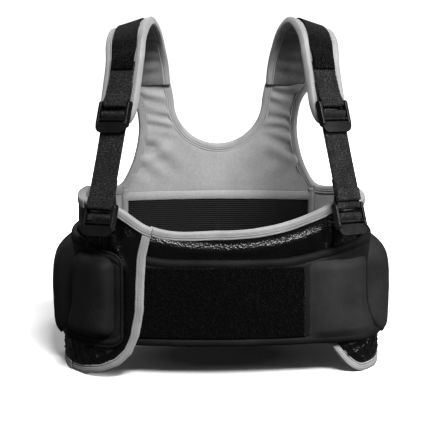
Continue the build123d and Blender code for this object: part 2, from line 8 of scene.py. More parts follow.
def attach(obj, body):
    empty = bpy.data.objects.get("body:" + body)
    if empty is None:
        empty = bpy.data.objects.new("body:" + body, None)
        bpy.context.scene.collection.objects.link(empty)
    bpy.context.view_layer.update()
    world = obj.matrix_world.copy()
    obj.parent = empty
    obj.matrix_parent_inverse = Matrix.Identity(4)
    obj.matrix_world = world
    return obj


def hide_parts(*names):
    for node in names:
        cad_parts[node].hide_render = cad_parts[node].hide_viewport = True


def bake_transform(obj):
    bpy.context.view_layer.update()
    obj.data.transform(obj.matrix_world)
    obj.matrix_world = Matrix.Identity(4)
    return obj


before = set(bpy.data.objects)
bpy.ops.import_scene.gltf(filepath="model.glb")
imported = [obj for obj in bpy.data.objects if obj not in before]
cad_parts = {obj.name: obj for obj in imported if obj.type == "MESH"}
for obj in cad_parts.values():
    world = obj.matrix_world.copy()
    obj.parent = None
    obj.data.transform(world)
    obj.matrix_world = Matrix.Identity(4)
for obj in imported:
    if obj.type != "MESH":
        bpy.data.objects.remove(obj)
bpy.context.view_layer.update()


# ---- the torso, in millimetres about its own centre
# A quarter of the outline is three tangent arcs: front (F), corner (C) and side (S), of the radius R. Their
# centres are at FC on the y axis, CX, CY, and SC on the x axis. An arc ends at the angle T and is RUN long.
FORWARD = 8.56  # the finished vest is moved back by this much
HEM, RIM = 1.2, 214.0  # heights of the walls' lower edge and of the rim where it is highest
ANCHOR_U, BELT_TOP = 150, 150  # the run of the strap anchors, and the height of the belt's top at the front
FR, CR, SR = 600.0, 75.0, 220.0
FC, SC = 120.0 - FR, 186.0 - SR
span = sqrt(SC * SC + FC * FC)
along = ((FR - CR) ** 2 - (SR - CR) ** 2 + span * span) / (2 * span)
across = sqrt((FR - CR) ** 2 - along**2)
CX = (SC * along - FC * across) / span
CY = FC + (-FC * along - SC * across) / span
FT, ST = atan2(CY - FC, CX), atan2(CY, CX - SC)
FRUN = (pi / 2 - FT) * FR
CRUN = (FT - ST) * CR
QUARTER = FRUN + CRUN + ST * SR


def smooth(x):
    x = np.clip(x, 0.0, 1.0)
    return x * x * (3 - 2 * x)


def plan(u, s):
    """Plan position at a run u from the front centre, positive to the wearer's right, and s outwards."""
    u = np.asarray(u, float)
    s = np.asarray(s, float) + 0 * u
    u = (u + 2 * QUARTER) % (4 * QUARTER) - 2 * QUARTER
    sign = np.where(u > 0, -1.0, 1.0)
    a = np.abs(u)
    back = a > QUARTER
    a = np.where(back, 2 * QUARTER - a, a)
    t1 = a / FR
    x1, y1 = (FR + s) * np.sin(t1), -FC - (FR + s) * np.cos(t1)
    t2 = FT - (a - FRUN) / CR
    x2, y2 = CX + (CR + s) * np.cos(t2), -CY - (CR + s) * np.sin(t2)
    t3 = ST - (a - FRUN - CRUN) / SR
    x3, y3 = SC + (SR + s) * np.cos(t3), -(SR + s) * np.sin(t3)
    x = np.where(a <= FRUN, x1, np.where(a <= FRUN + CRUN, x2, x3)) * sign
    y = np.where(a <= FRUN, y1, np.where(a <= FRUN + CRUN, y2, y3))
    return x, np.where(back, -y, y)


def ripple(seed, count, low, high):
    """A smooth random field of two variables in millimetres, between -1 and 1."""
    rng = np.random.default_rng(seed)
    angle = rng.uniform(0, 2 * pi, count)
    pitch = 2 * pi / rng.uniform(low, high, count)
    phase = rng.uniform(0, 2 * pi, count)
    size = rng.uniform(0.5, 1.0, count)

    def field(u, z):
        total = 0.0
        for a, p, f, k in zip(angle, pitch, phase, size):
            total = total + k * np.sin((u * cos(a) + z * sin(a)) * p + f)
        return total / size.sum()

    return field


slow = ripple(3, 7, 90, 220)
medium = ripple(5, 9, 28, 70)
fine = ripple(8, 12, 9, 24)


def spread(u, z):
    """How far every layer stands out from the outline: the walls lean in, and the skirt flares."""
    middle = RIM / 2
    lean = np.where(z < RIM, 2.5 * (middle - z) / middle, -2.5 * (1 - smooth((z - RIM) / 110)))
    x, _ = plan(u, 0.0)
    flare = 15.0 * smooth((np.abs(x) - 112) / 68) * smooth((96 - z) / 66)
    return lean + flare + 1.3 * slow(u, z)


def wall_point(u, z, s):
    """Points of a layer of the wall."""
    u, z, s = np.broadcast_arrays(*(np.asarray(v, float) for v in (u, z, s)))
    x, y = plan(u, s + spread(u, z))
    return np.stack([x, y, z], -1)


def rim(u):
    """Height of the rim at a run: it dips along an arc at the front, and sinks a little at the back."""
    x, y = plan(u, 0.0)
    reach, radius = 135, 309.4
    dip = 183 + radius - np.sqrt(radius**2 - np.minimum(np.abs(x), reach) ** 2)
    top = np.where((np.abs(x) < reach) & (y < 0), dip, RIM)
    return np.where(y > 30, RIM - 8 * smooth((y - 50) / 50), top)


def crumple(u, z):
    """Sharp folds of thin leather, from 0 to 1."""
    one = 1 - np.abs(np.sin(0.13 * u + 0.21 * z + 2.4 * medium(u, z)))
    two = 1 - np.abs(np.sin(0.23 * u - 0.12 * z + 2.0 * medium(z * 1.3, u)))
    return 0.6 * one**2 + 0.4 * two**2


def leather_folds(u, z, low=HEM):
    """How far the leather stands out: full above the belt, drawn to the anchors, crumpled at the hem."""
    top = rim(u)
    above = np.clip((z - BELT_TOP) / np.maximum(top - BELT_TOP, 20), 0, 1)
    full = 3.4 * smooth((ANCHOR_U - np.abs(u)) / 50) * np.sin(pi * above) ** 2
    creased = 3.2 * crumple(u, z) * smooth((47 - z) / 12) * smooth((z - 3) / 8)
    away = np.abs(np.abs(u) - ANCHOR_U)
    fan = np.sin(away * 0.5 - 0.03 * (z - 170) * away * 0.2)
    drawn = 1.6 * np.exp(-((away / 24) ** 2)) * smooth((z - 140) / 30) * fan
    off_ridge = np.abs(u) - (124 + 0.36 * (z - BELT_TOP))
    ridge = 3.2 * np.exp(-((off_ridge / 4.2) ** 2)) * smooth((z - 128) / 20) * smooth((206 - z) / 18)
    faint = 0.2 * crumple(u + 40, z) * smooth((z - BELT_TOP) / 20)
    inside = smooth((top - 12 - z) / 14) * smooth((z - low - 8) / 8)
    return (full + creased + drawn + ridge + faint) * inside


def front_rim(u):
    """The rim of the front panel hangs lower towards and under the flap."""
    return rim(u) - 9.0 * smooth((u - 2) / 80) * (u < 140)


# ---- mesh builders


def in_frame(points):
    """From millimetres about the torso's centre to metres in the shared frame."""
    return (points + (0, FORWARD, 0)) * 0.001


def add_object(name, data):
    obj = bpy.data.objects.new(name, data)
    bpy.context.scene.collection.objects.link(obj)
    return obj


def build(name, points, faces, uvs, mat):
    """An object from points in millimetres, with a UV map in metres."""
    mesh = bpy.data.meshes.new(name)
    points = in_frame(np.asarray(points, float).reshape(-1, 3))
    mesh.from_pydata(points.tolist(), [], [list(map(int, f)) for f in faces])
    layer = mesh.uv_layers.new(name="cloth")
    loops = np.zeros(len(mesh.loops), np.int32)
    mesh.loops.foreach_get("vertex_index", loops)
    uvs = np.asarray(uvs, float).reshape(-1, 2) * 0.001
    layer.data.foreach_set("uv", uvs[loops].astype(np.float32).ravel())
    mesh.materials.append(mat)
    mesh.polygons.foreach_set("use_smooth", np.ones(len(mesh.polygons), bool))
    mesh.update()
    return add_object(name, mesh)


def tube(name, rows, mat):
    """A closed skin through rows of points; each row is a closed loop."""
    rows = np.asarray(rows, float)
    k, m = rows.shape[:2]
    loop = np.concatenate([rows, rows[:, :1]], 1)
    step = np.linalg.norm(np.diff(rows, axis=0), axis=2).mean(1)
    u = np.concatenate([[0], np.cumsum(step)])
    v = run_along(loop[k // 2])[:m]
    uvs = np.stack(np.broadcast_arrays(u[:, None], v[None, :]), -1)
    i, j = np.meshgrid(np.arange(k - 1), np.arange(m), indexing="ij")
    jn = (j + 1) % m
    faces = np.stack([i * m + j, i * m + jn, (i + 1) * m + jn, (i + 1) * m + j], -1).reshape(-1, 4)
    faces = faces.tolist() + [list(range(m))[::-1], [(k - 1) * m + q for q in range(m)]]
    return build(name, rows, faces, uvs, mat)


def slab(name, outer, inner, uv, mat):
    """A closed sheet between two grids of points."""
    n, m = outer.shape[:2]
    i, j = np.meshgrid(np.arange(n - 1), np.arange(m - 1), indexing="ij")
    quad = np.stack([i * m + j, (i + 1) * m + j, (i + 1) * m + j + 1, i * m + j + 1], -1).reshape(-1, 4)
    border = [(a, 0) for a in range(n - 1)] + [(n - 1, b) for b in range(m - 1)]
    border += [(a, m - 1) for a in range(n - 1, 0, -1)] + [(0, b) for b in range(m - 1, 0, -1)]
    ring = [a * m + b for a, b in border]
    base = n * m
    sides = [[p, q, q + base, p + base] for p, q in zip(ring[1:] + ring[:1], ring)]
    faces = quad.tolist() + (quad[:, ::-1] + base).tolist() + sides
    points = np.concatenate([outer.reshape(-1, 3), inner.reshape(-1, 3)])
    return build(name, points, faces, np.concatenate([uv.reshape(-1, 2)] * 2), mat)


def wall_sheet(name, u, z, outer, inner, mat, order=np.s_[::-1]):
    """A sheet between two distances from the wall, its grid in an order that makes it face outwards."""
    grids = (wall_point(u, z, outer), wall_point(u, z, inner), np.stack([u, z], -1))
    return slab(name, *(grid[order] for grid in grids), mat)


def sweep(name, centres, sideways, normals, section, mat):
    """A section of (sideways, outwards) points carried along a line; it may change along the line."""
    section = np.asarray(section, float)
    if section.ndim == 2:
        section = np.broadcast_to(section, (len(centres),) + section.shape)
    rows = centres[:, None] + sideways[:, None] * section[..., :1] + normals[:, None] * section[..., 1:]
    return tube(name, rows, mat)


def unit(v):
    return v / np.maximum(np.linalg.norm(v, axis=-1, keepdims=True), 1e-9)


def run_along(line):
    """The length of a line up to each of its points."""
    return np.concatenate([[0], np.cumsum(np.linalg.norm(np.diff(line, axis=0), axis=1))])


def even(line, count):
    """A line resampled to a number of evenly spaced points."""
    run = run_along(line)
    where = np.linspace(0, run[-1], count)
    return np.stack([np.interp(where, run, line[:, k]) for k in range(line.shape[1])], -1)


def resample(line, step):
    """A line resampled at about an even step."""
    return even(line, max(int(run_along(line)[-1] / step), 2) + 1)


def along_curve(points, step):
    """A smooth line through points (a Catmull-Rom spline), resampled at an even step."""
    points = np.asarray(points, float)
    ends = np.concatenate([[2 * points[0] - points[1]], points, [2 * points[-1] - points[-2]]])
    t = np.linspace(0, 1, 24, endpoint=False)[:, None]
    pieces = []
    for a, b, c, d in zip(ends, ends[1:], ends[2:], ends[3:]):
        square, cube = 2 * a - 5 * b + 4 * c - d, 3 * b - a - 3 * c + d
        pieces.append(0.5 * (2 * b + (c - a) * t + square * t**2 + cube * t**3))
    return resample(np.concatenate(pieces + [points[-1:]]), step)


def direction(line):
    return unit(np.gradient(line, axis=0))


def tape_section(width, half):
    """A tape folded over an edge: the edge is at 0, the panel lies at negative distances."""
    thick = 1.3
    turn = np.linspace(pi / 2, -pi / 2, 9)
    ribs = [(0.0, 0.0), (0.35, 0.8), (1.3, 1.0), (2.2, 0.95), (2.7, 0.35), (3.2, 0.95), (4.2, 1.15)]
    ribs += [(width * 0.5, 1.2), (width * 0.5 + 0.5, 0.7), (width * 0.5 + 1.1, 1.15), (width - 2.4, 1.1)]
    outer = [(-width + a, half + thick * b) for a, b in ribs]
    outer += [(0.2 + 1.5 * cos(t), (half + thick) * sin(t)) for t in turn]
    outer += [(-width + a, -half - thick * b) for a, b in ribs[::-1]]
    inner = [(-1.0, -half + 0.1), (-0.3, 0), (-1.0, half - 0.1)]
    return np.array(outer + inner)


TAPE_STEP = 2.0


def binding(name, edge, normals, outwards, width, half, mat, seed=0):
    """Tape along an edge line with points at every TAPE_STEP, with a little waviness in its width."""
    wave = ripple(seed + 40, 6, 14, 60)
    run = np.arange(len(edge)) * TAPE_STEP
    base = tape_section(width, half)
    sections = np.repeat(base[None], len(edge), 0)
    inner = base[:, 0] < -1.6
    sections[:, inner, 0] += (0.55 * wave(run, run * 0 + 7))[:, None]
    sections[:, :, 1] *= (1 + 0.07 * wave(run, run * 0 + 90))[:, None]
    return sweep(name, edge, outwards, normals, sections, mat)


# ---- materials


class Nodes:
    """Short ways to make and join the shader nodes of a new material or world."""

    def __init__(self, name, kind=bpy.data.materials, shader="Principled BSDF"):
        self.made = kind.new(name)
        self.made.use_nodes = True
        self.tree = self.made.node_tree
        self.shader = self.tree.nodes[shader]

    def add(self, kind, inputs=None, **settings):
        node = self.tree.nodes.new(kind)
        for key, value in settings.items():
            setattr(node, key, value)
        for key, value in (inputs or {}).items():
            self.feed(node.inputs[key], value)
        return node

    def feed(self, socket, value):
        if isinstance(value, bpy.types.NodeSocket):
            self.tree.links.new(value, socket)
        else:
            socket.default_value = value

    def math(self, operation, a, b=0.0):
        return self.add("ShaderNodeMath", {0: a, 1: b}, operation=operation).outputs[0]

    def sum(self, a, part_a, b, part_b):
        return self.math("ADD", self.math("MULTIPLY", a, part_a), self.math("MULTIPLY", b, part_b))

    def ramp(self, value, low, high, out_low=0.0, out_high=1.0):
        node = self.add("ShaderNodeMapRange", {0: value, 1: low, 2: high, 3: out_low, 4: out_high})
        return node.outputs[0]

    def uv(self):
        """Metres along and across the cloth."""
        uv = self.add("ShaderNodeUVMap", uv_map="cloth").outputs[0]
        return self.add("ShaderNodeSeparateXYZ", {0: uv}).outputs[:2]

    def wave(self, value, pitch):
        return self.math("SINE", self.math("MULTIPLY", value, 2 * pi / pitch))

    def cloth(self, across, along):
        """UV coordinates scaled to repeats per metre."""
        uv = self.add("ShaderNodeUVMap", uv_map="cloth").outputs[0]
        return self.add("ShaderNodeMapping", {"Vector": uv, "Scale": (along, across, 1)}).outputs[0]

    def place(self):
        return self.add("ShaderNodeTexCoord").outputs["Object"]

    def cells(self, where, scale):
        return self.add("ShaderNodeTexVoronoi", {"Vector": where, "Scale": scale}).outputs[0]

    def noise(self, vector, scale, detail=3.0, rough=0.55):
        inputs = {"Vector": vector, "Scale": scale, "Detail": detail, "Roughness": rough}
        return self.add("ShaderNodeTexNoise", inputs).outputs[0]

    def colour(self, value, dark, light):
        """A grey between two tones."""
        inputs = {0: value, 6: (dark,) * 3 + (1,), 7: (light,) * 3 + (1,)}
        return self.add("ShaderNodeMix", inputs, data_type="RGBA").outputs[2]

    def set(self, **inputs):
        for key, value in inputs.items():
            self.feed(self.shader.inputs[key.replace("_", " ")], value)

    def bump(self, height, distance, strength=1.0, below=None):
        inputs = {"Height": height, "Distance": distance, "Strength": strength}
        if below is not None:
            inputs["Normal"] = below
        return self.add("ShaderNodeBump", inputs).outputs[0]


def leatherette():
    n = Nodes("leatherette")
    where = n.place()
    worn = n.noise(where, 30.0)
    crease = n.noise(where, 75.0, 5.0, 0.62)
    n.set(Base_Color=n.colour(worn, 0.002, 0.005), Roughness=n.ramp(worn, 0.3, 0.75, 0.24, 0.36))
    n.set(Specular_IOR_Level=0.42)
    n.set(Normal=n.bump(n.cells(where, 420.0), 0.0006, 0.8, n.bump(crease, 0.001, 0.5)))
    return n.made


def lining(name="lining_cloth", dark=0.25, light=0.36):
    n = Nodes(name)
    where = n.place()
    knit = n.noise(n.cloth(900, 900), 1.0, 2.0)
    tone = n.sum(n.noise(where, 14.0), 0.65, n.noise(where, 340.0, 3.0), 0.35)
    n.set(Base_Color=n.colour(n.ramp(tone, 0.32, 0.68), dark, light), Roughness=0.78)
    n.set(Sheen_Weight=0.25, Sheen_Roughness=0.45, Specular_IOR_Level=0.3)
    n.set(Normal=n.bump(knit, 0.0004, 0.5, n.bump(n.noise(where, 55.0, 4.0), 0.0018, 0.5)))
    return n.made


def tape(name="binding_tape", tone=0.33):
    n = Nodes(name)
    along_tape, across_tape = n.uv()
    ribs = n.wave(across_tape, 0.0009)
    where = n.place()
    dash = n.math("LESS_THAN", n.math("FRACT", n.math("DIVIDE", along_tape, 0.0036)), 0.72)
    marks = []
    for line in (0.0024, 0.0098):
        near = n.math("ABSOLUTE", n.math("SUBTRACT", across_tape, line))
        marks.append(n.math("MULTIPLY", n.math("LESS_THAN", near, 0.00042), dash))
    stitch = n.math("MAXIMUM", marks[1], marks[0])
    grey = n.ramp(n.noise(where, 40.0), 0.3, 0.7, tone * 0.86, tone * 1.06)
    grey = n.sum(grey, 1.0, ribs, 0.012)
    grey = n.math("MULTIPLY", grey, n.math("SUBTRACT", 1.0, n.math("MULTIPLY", stitch, 0.3)))
    n.set(Base_Color=n.add("ShaderNodeCombineColor", {0: grey, 1: grey, 2: grey}).outputs[0])
    n.set(Roughness=0.7, Sheen_Weight=0.25)
    uneven = n.bump(n.noise(where, 130.0), 0.0008, 0.35)
    n.set(Normal=n.bump(stitch, 0.0005, -0.7, n.bump(ribs, 0.00012, 0.6, uneven)))
    return n.made


def ribbed():
    n = Nodes("ribbed_mesh")
    along_band, across_band = n.uv()
    rows, cols = n.wave(across_band, 0.0028), n.wave(along_band, 0.0024)
    weave = n.sum(rows, 0.6, n.math("MULTIPLY", rows, cols), 0.4)
    tone = n.sum(n.ramp(weave, -1.0, 1.0, 0.0, 0.7), 1.0, n.noise(n.place(), 60.0), 0.3)
    n.set(Base_Color=n.colour(tone, 0.006, 0.03), Roughness=0.8, Sheen_Weight=0.05, Specular_IOR_Level=0.15)
    n.set(Normal=n.bump(weave, 0.0007, 0.9))
    return n.made


def neoprene(name="belt_cloth", dark=0.008, light=0.017):
    n = Nodes(name)
    where = n.place()
    patch = n.noise(where, 22.0, 4.0)
    n.set(Base_Color=n.colour(n.ramp(patch, 0.3, 0.7), dark, light), Roughness=0.66)
    n.set(Sheen_Weight=0.02, Sheen_Roughness=0.4, Specular_IOR_Level=0.14)
    n.set(Normal=n.bump(n.cells(where, 850.0), 0.0003, 0.7, n.bump(n.noise(where, 90.0), 0.0009, 0.35)))
    return n.made


def pile():
    n = Nodes("loop_pile")
    where = n.place()
    clumps = n.noise(where, 170.0, 5.0, 0.7)
    mixed = n.math("MULTIPLY", n.math("SUBTRACT", 1.0, n.cells(where, 480.0)), clumps)
    n.set(Base_Color=n.colour(n.ramp(mixed, 0.25, 0.6), 0.0015, 0.013), Roughness=0.95)
    n.set(Sheen_Weight=0.05, Sheen_Roughness=0.5, Specular_IOR_Level=0.08)
    n.set(Normal=n.bump(mixed, 0.0035, 1.0))
    return n.made


def webbing_cloth():
    n = Nodes("webbing")
    along_web, across_web = n.uv()
    weave = n.math("MULTIPLY", n.wave(along_web, 0.0019), n.wave(across_web, 0.0023))
    fleck = n.noise(n.cloth(300, 620), 1.0, 3.0, 0.7)
    patch = n.noise(n.place(), 60.0, 4.0)
    tone = n.sum(n.ramp(fleck, 0.5, 0.64), 0.75, n.ramp(weave, -1.0, 1.0), 0.25)
    n.set(Base_Color=n.colour(n.math("MULTIPLY", tone, patch), 0.002, 0.22), Roughness=0.5)
    n.set(Sheen_Weight=0.0, Specular_IOR_Level=0.25)
    n.set(Normal=n.bump(n.math("ADD", weave, fleck), 0.0006, 0.9, n.bump(patch, 0.0012, 0.5)))
    return n.made


def lock_plastic():
    n = Nodes("lock_plastic")
    where = n.place()
    n.set(Base_Color=n.colour(n.noise(where, 90.0), 0.006, 0.012))
    n.set(Roughness=n.ramp(n.noise(where, 60.0, 3.0), 0.3, 0.7, 0.24, 0.32))
    n.set(Normal=n.bump(n.noise(where, 260.0, 2.0), 0.0001, 0.25), Specular_IOR_Level=0.5)
    return n.made


def thread():
    n = Nodes("thread")
    n.set(Base_Color=n.colour(n.noise(n.place(), 800.0), 0.03, 0.09), Roughness=0.5)
    return n.made


# the fourth tape is a little darker: painted shade for the tapes that lie in shade, inside, at the armholes
# and on the wearer's right
LEATHER, LINING, TAPE, TAPE_SHADED = leatherette(), lining(), tape(), tape("binding_tape_shaded", 0.31)
MESH, CLOTH, PILE, WEB, PLASTIC = ribbed(), neoprene(), pile(), webbing_cloth(), lock_plastic()
PAD_LINING = lining("pad_lining_cloth", 0.11, 0.19)
CORD = neoprene("piping_cord", 0.006, 0.014)
# the second pod cloth is about twice as light: partly a lighter cloth, partly painted light from the key lamp,
# which falls on the wearer's left
POD, POD_LIT = neoprene("pod_cloth", 0.01, 0.018), neoprene("pod_cloth_left", 0.02, 0.036)
THREAD = thread()


def finish(obj, body, slot, *nodes, blend=None):
    """Puts a piece on its body, in place of CAD nodes."""
    if blend:
        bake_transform(obj)
    else:
        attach(obj, body)
    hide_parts(*nodes)
    return obj


# ---- walls of the vest


SKIN, LINER = (0.0, -1.6), (-6.6, -8.0)  # outer and inner distances of the leather and of the lining
TAPE_MID, TAPE_HALF = -4.0, 4.2  # the middle of the wall, and half of the thickness in a tape's fold


def wall_piece(name, u0, u1, low, high, layer, mat, nu, nz, crease):
    """A layer of the wall between two runs, from the height low to just under high, both given at a run."""
    us = np.linspace(u0, u1, nu)
    u = np.repeat(us[:, None], nz, 1)
    z = low(us)[:, None] + (high(us) - 0.5 - low(us))[:, None] * np.linspace(0, 1, nz)
    extra = crease * (0.6 * medium(u, z) + 0.4 * fine(u, z))
    folds = leather_folds(u, z, low(us)[:, None]) if mat is LEATHER else 0.0
    grids = wall_point(u, z, layer[0] + extra + folds), wall_point(u, z, layer[1] + extra * 0.5)
    if u1 < u0:
        grids = [grid[:, ::-1] for grid in grids]
    return slab(name, *grids, np.stack([u, z], -1), mat)


def flat(value):
    return lambda u: np.full(np.shape(u), float(value))


def left_hem(u):
    """The front hem: high under the belt, dropping to the floor at the wearer's left."""
    x, _ = plan(u, 0.0)
    return HEM + 50.8 * (1 - smooth((x - 118) / 50)) ** 1.3


FLAP_EDGE_Z = [1.2, 5, 10, 19, 34, 57, 87, 122, 154, 186, 200]
FLAP_EDGE_X = [-172, -158, -142, -127, -113, -104, -99, -98, -96, -89, -84]


def run_at(x, reach, count):
    """The run on the front at which the outline is x wide of its middle, looked up in a table up to a run."""
    runs = np.linspace(0, reach, count)
    return np.interp(x, -plan(runs, 0.0)[0], runs)


def flap_edge_run(z):
    """The run of the free edge of the flap at a height."""
    return run_at(-np.interp(z, FLAP_EDGE_Z, FLAP_EDGE_X), QUARTER, 400)


def back_run(x):
    """How far the wall at x is along the back from its middle."""
    return run_at(np.abs(x), 230, 300)


def flap_rim(u):
    """The flap's rim sinks a little towards its free edge, onto the tape of the rim under it."""
    return rim(u) + 2.5 * smooth((170 - u) / 30) - 8.5 * smooth((126 - u) / 36)


def lift(u):
    return smooth((188 - np.asarray(u)) / 75.0)


def flap_at(share, extra=0.0):
    def distance(u):
        inner = -8.0 + 20.0 * lift(u)
        outer = 17.6 * lift(u)
        return inner + (outer - inner) * share + extra

    return distance


BACK_X, SEAM_TOP = 134.0, 205.0  # half the width of the back panel, and the height where the armhole starts

# the runs of the left side seam and of the side seams of the back, and of the flap's hinge
SEAM_U = -float(run_at(168, 240, 200))
BACK_U = float(2 * QUARTER - run_at(BACK_X, 240, 200))
HINGE_U = 193.0
ROUND_U = HINGE_U - 4 * QUARTER + 1  # beside the hinge again, reached round the back


for name, start, end, low, high, counts, creased in (
    ("front", 130, SEAM_U, left_hem, front_rim, ((260, 120), (120, 50)), 0.15),
    ("left_side", SEAM_U, -BACK_U, flat(HEM), rim, ((150, 110), (80, 50)), 0.3),
    ("right_side", HINGE_U + 0.5, BACK_U, flat(HEM), rim, ((150, 110), (80, 50)), 0.3),
):
    limits = (start, end, low, high)
    shell = wall_piece(f"{name}_shell_cloth", *limits, SKIN, LEATHER, *counts[0], creased)
    finish(shell, "vest", "shell_leather", f"{name}_shell", f"{name}_foam")
    inside = wall_piece(f"{name}_lining_cloth", *limits, LINER, LINING, *counts[1], 0.8)
    finish(inside, "vest", "lining_cloth", f"{name}_lining")

# ---- back panel: a lower band, and the yoke that fans up to the shoulders

# the neckline, as (x, z) points: a quarter of a circle and a short rise
NECK = [(62 * sin(t), 324 - 62 * cos(t)) for t in np.linspace(0, pi / 2, 24)]
NECK = np.array(NECK + [(64.5, 338), (66, 345)])


# the armhole, as (x, z) points at every 3 mm
ARM = [(BACK_X, SEAM_TOP), (119, 231), (109.5, 262), (106.5, 290), (112, 322), (127, 345)]
ARM = along_curve(ARM, 3)


def at_x(x, z, s):
    """A point of the back wall over a given x."""
    x = np.asarray(x, float)
    u = 2 * QUARTER - back_run(x)
    return wall_point(np.where(x > 0, -u, u), z, s)


def yoke_grid(base_z, rows):
    """Points (x, z) between the neckline and an outer line made of the base, the seam and the armhole."""
    base = even(np.array([(0.0, base_z), (BACK_X, base_z)]), 44)
    seam = even(np.array([(BACK_X, base_z), (BACK_X, SEAM_TOP)]), 5)[1:]
    outer = np.concatenate([base, seam, even(ARM, 63)])
    inner = even(NECK, len(outer))
    half = inner[:, None] + (outer - inner)[:, None] * np.linspace(0, 1, rows)[None, :, None]
    mirrored = half[::-1] * (-1, 1)
    return np.concatenate([mirrored[:-1], half])


def drag(x, z):
    """Wrinkles of the yoke: level ones on the shoulder arms, and slanted ones towards the armholes."""
    off = np.abs(x)
    arm = smooth((z - 262) / 40)
    level = np.sin(z * 0.36 + 0.05 * x + 2.2 * slow(x * 2, z * 2)) * (0.5 + 0.5 * medium(x, z * 1.5))
    slant = np.sin((z - 0.75 * off) * 0.16 + 1.5 * slow(x, z)) * smooth((off - 30) / 60) * (1 - arm)
    pull = np.sin((z + 0.5 * off) * 0.2 + 2.0 * slow(x, z * 2))
    pull = pull * np.exp(-(((off - 92) / 26) ** 2)) * smooth((z - 225) / 30)
    wide = 0.6 * slow(x * 1.4, z)
    return 2.4 * arm * level + 1.7 * slant * smooth((z - 205) / 40) + 1.4 * pull * (1 - arm) + wide


for name, layer, base, row_count, mat, slot, nodes, part in (
    ("back_shell_cloth", SKIN, HEM, 90, LEATHER, "shell_leather", ("back_shell", "back_foam"), 0.4),
    ("back_lining_cloth", (-6.6, -8.2), 190.0, 46, LINING, "lining_cloth", ("back_lining",), 1.0),
):
    grid = yoke_grid(base, row_count)
    x, z = grid[..., 0], grid[..., 1]
    share = np.linspace(0, 1, row_count)
    span = np.linalg.norm(grid[:, -1] - grid[:, 0], axis=-1)
    margin = np.minimum(share, 1 - share)[None] * span[:, None]
    wrinkle = np.maximum(drag(x, z) + 0.8, -0.9) * part * smooth((margin - 3) / 12)
    sides = at_x(x, z, layer[0]), at_x(x, z, layer[1] - wrinkle)
    piece = slab(name, *(side[:, ::-1] for side in (*sides, grid)), mat)
    finish(piece, "vest", slot, *nodes)

x, z = np.meshgrid(np.linspace(-BACK_X, BACK_X, 160), np.linspace(HEM, 190.5, 40), indexing="ij")
sides = at_x(x, z, LINER[0]), at_x(x, z, LINER[1] - 0.4 * medium(x, z))
mesh_band = slab("lumbar_mesh_band", *sides, np.stack([x, z], -1), MESH)
finish(mesh_band, "vest", "mesh_band", "lumbar_mesh")

# the turned hem of the lining, over the top of the mesh: its section is (z, s)
section = [(187.6, -8.2), (187.2, -8.9), (188.0, -9.6), (193, -9.9)]
section += [(198.4, -9.5), (199.2, -8.9), (198.6, -8.2)]
z, s = np.array(section).T
x = np.linspace(-133.6, 133.6, 150)[:, None]
hem_band = tube("lining_hem_band", at_x(x, z + 0.25 * fine(x, 3.0), s), LINING)
finish(hem_band, "vest", "lining_cloth")

across, s = np.array([(-5, -8.2), (-4.6, -9.4), (0, -9.9), (4.4, -9.5), (5, -8.2)]).T
for side, sign, order in (("left", 1, 1), ("right", -1, -1)):
    rows = at_x(sign * (130 + across), np.linspace(8, 204, 90)[:, None], s)
    seam = tube(f"{side}_seam_tape", rows[:, ::order], TAPE_SHADED)
    finish(seam, "vest", "binding_tape", "seam_tapes")

# ---- bindings of the vest


def edge_tape(name, us, zs, s_mid, half, mat, nodes, flip=1, width=9.2, seed=0, blend=None, point=wall_point):
    """Tape over the edge of a panel, along a line of runs and heights; s_mid is the middle of the panel."""
    us, zs = resample(np.stack([us, zs], -1), TAPE_STEP).T
    mid = s_mid(us) if callable(s_mid) else s_mid
    line = point(us, zs, mid)
    normal = unit(point(us, zs, mid + 1.0) - line)
    outwards = unit(np.cross(direction(line), normal)) * flip
    if flip > 0:
        line, normal, outwards = line[::-1], normal[::-1], outwards[::-1]
    obj = binding(name, line, normal, outwards, width, half, mat, seed)
    return finish(obj, "vest", "binding_tape", *nodes, blend=blend)


def rim_to_armhole(start, sign):
    """The rim from a run at the front, a rounded corner, and the armhole up to the shoulder."""
    us = np.linspace(start, sign * BACK_U, 400)
    arm_u = sign * (2 * QUARTER - back_run(ARM[:, 0]))
    line = np.concatenate([np.stack([us, front_rim(us)], -1), np.stack([arm_u, ARM[:, 1]], -1)])
    line = resample(line, TAPE_STEP)
    corner = int(np.argmin(np.abs(line[:, 0] - sign * BACK_U) + 4 * (line[:, 1] > 212)))
    reach = 12
    window = np.hanning(2 * reach + 1)
    window = window / window.sum()
    padded = np.pad(line, ((reach, reach), (0, 0)), "edge")
    rounded = np.stack([np.convolve(padded[:, k], window, "valid") for k in (0, 1)], -1)
    near = (1 - smooth((np.abs(np.arange(len(line)) - corner) - 14) / 12))[:, None]
    return line * (1 - near) + rounded * near, corner


WALL_TAPE = (TAPE_MID, TAPE_HALF)
# the rim tape on the wearer's right takes the darker tape, painted shade for the side away from the key lamp
for side, sign, start, flip, rim_mat, name, node in (
    ("left", -1, 92, -1, TAPE, "front_rim_tape", "front_rim_binding"),
    ("right", 1, HINGE_U + 1, 1, TAPE_SHADED, "right_rim_tape", "right_rim_binding"),
):
    line, corner = rim_to_armhole(start, sign)
    edge_tape(name, *line[: corner + 1].T, *WALL_TAPE, rim_mat, (node,), flip, seed=1)
    nodes = (f"{side}_armhole_binding",)
    edge_tape(f"{side}_armhole_tape", *line[corner:].T, *WALL_TAPE, TAPE_SHADED, nodes, flip, seed=5)
past_seam = SEAM_U - 20
us = np.concatenate([np.linspace(60, past_seam, 160), np.linspace(past_seam, ROUND_U, 420)])
zs = np.where(us > past_seam, left_hem(us), HEM)
edge_tape("hem_tape", us, zs, *WALL_TAPE, TAPE, ("hem_binding",), seed=3)
neck = np.concatenate([NECK[::-1] * (-1, 1), NECK[1:]])
edge_tape("neckline_tape", *neck.T, *WALL_TAPE, TAPE, ("neckline_binding",), width=9.5, seed=4, point=at_x)

# ---- waist belt


def belt_top(u):
    x, _ = plan(u, 0.0)
    return BELT_TOP + 21 * smooth((np.abs(x) - 60) / 130)


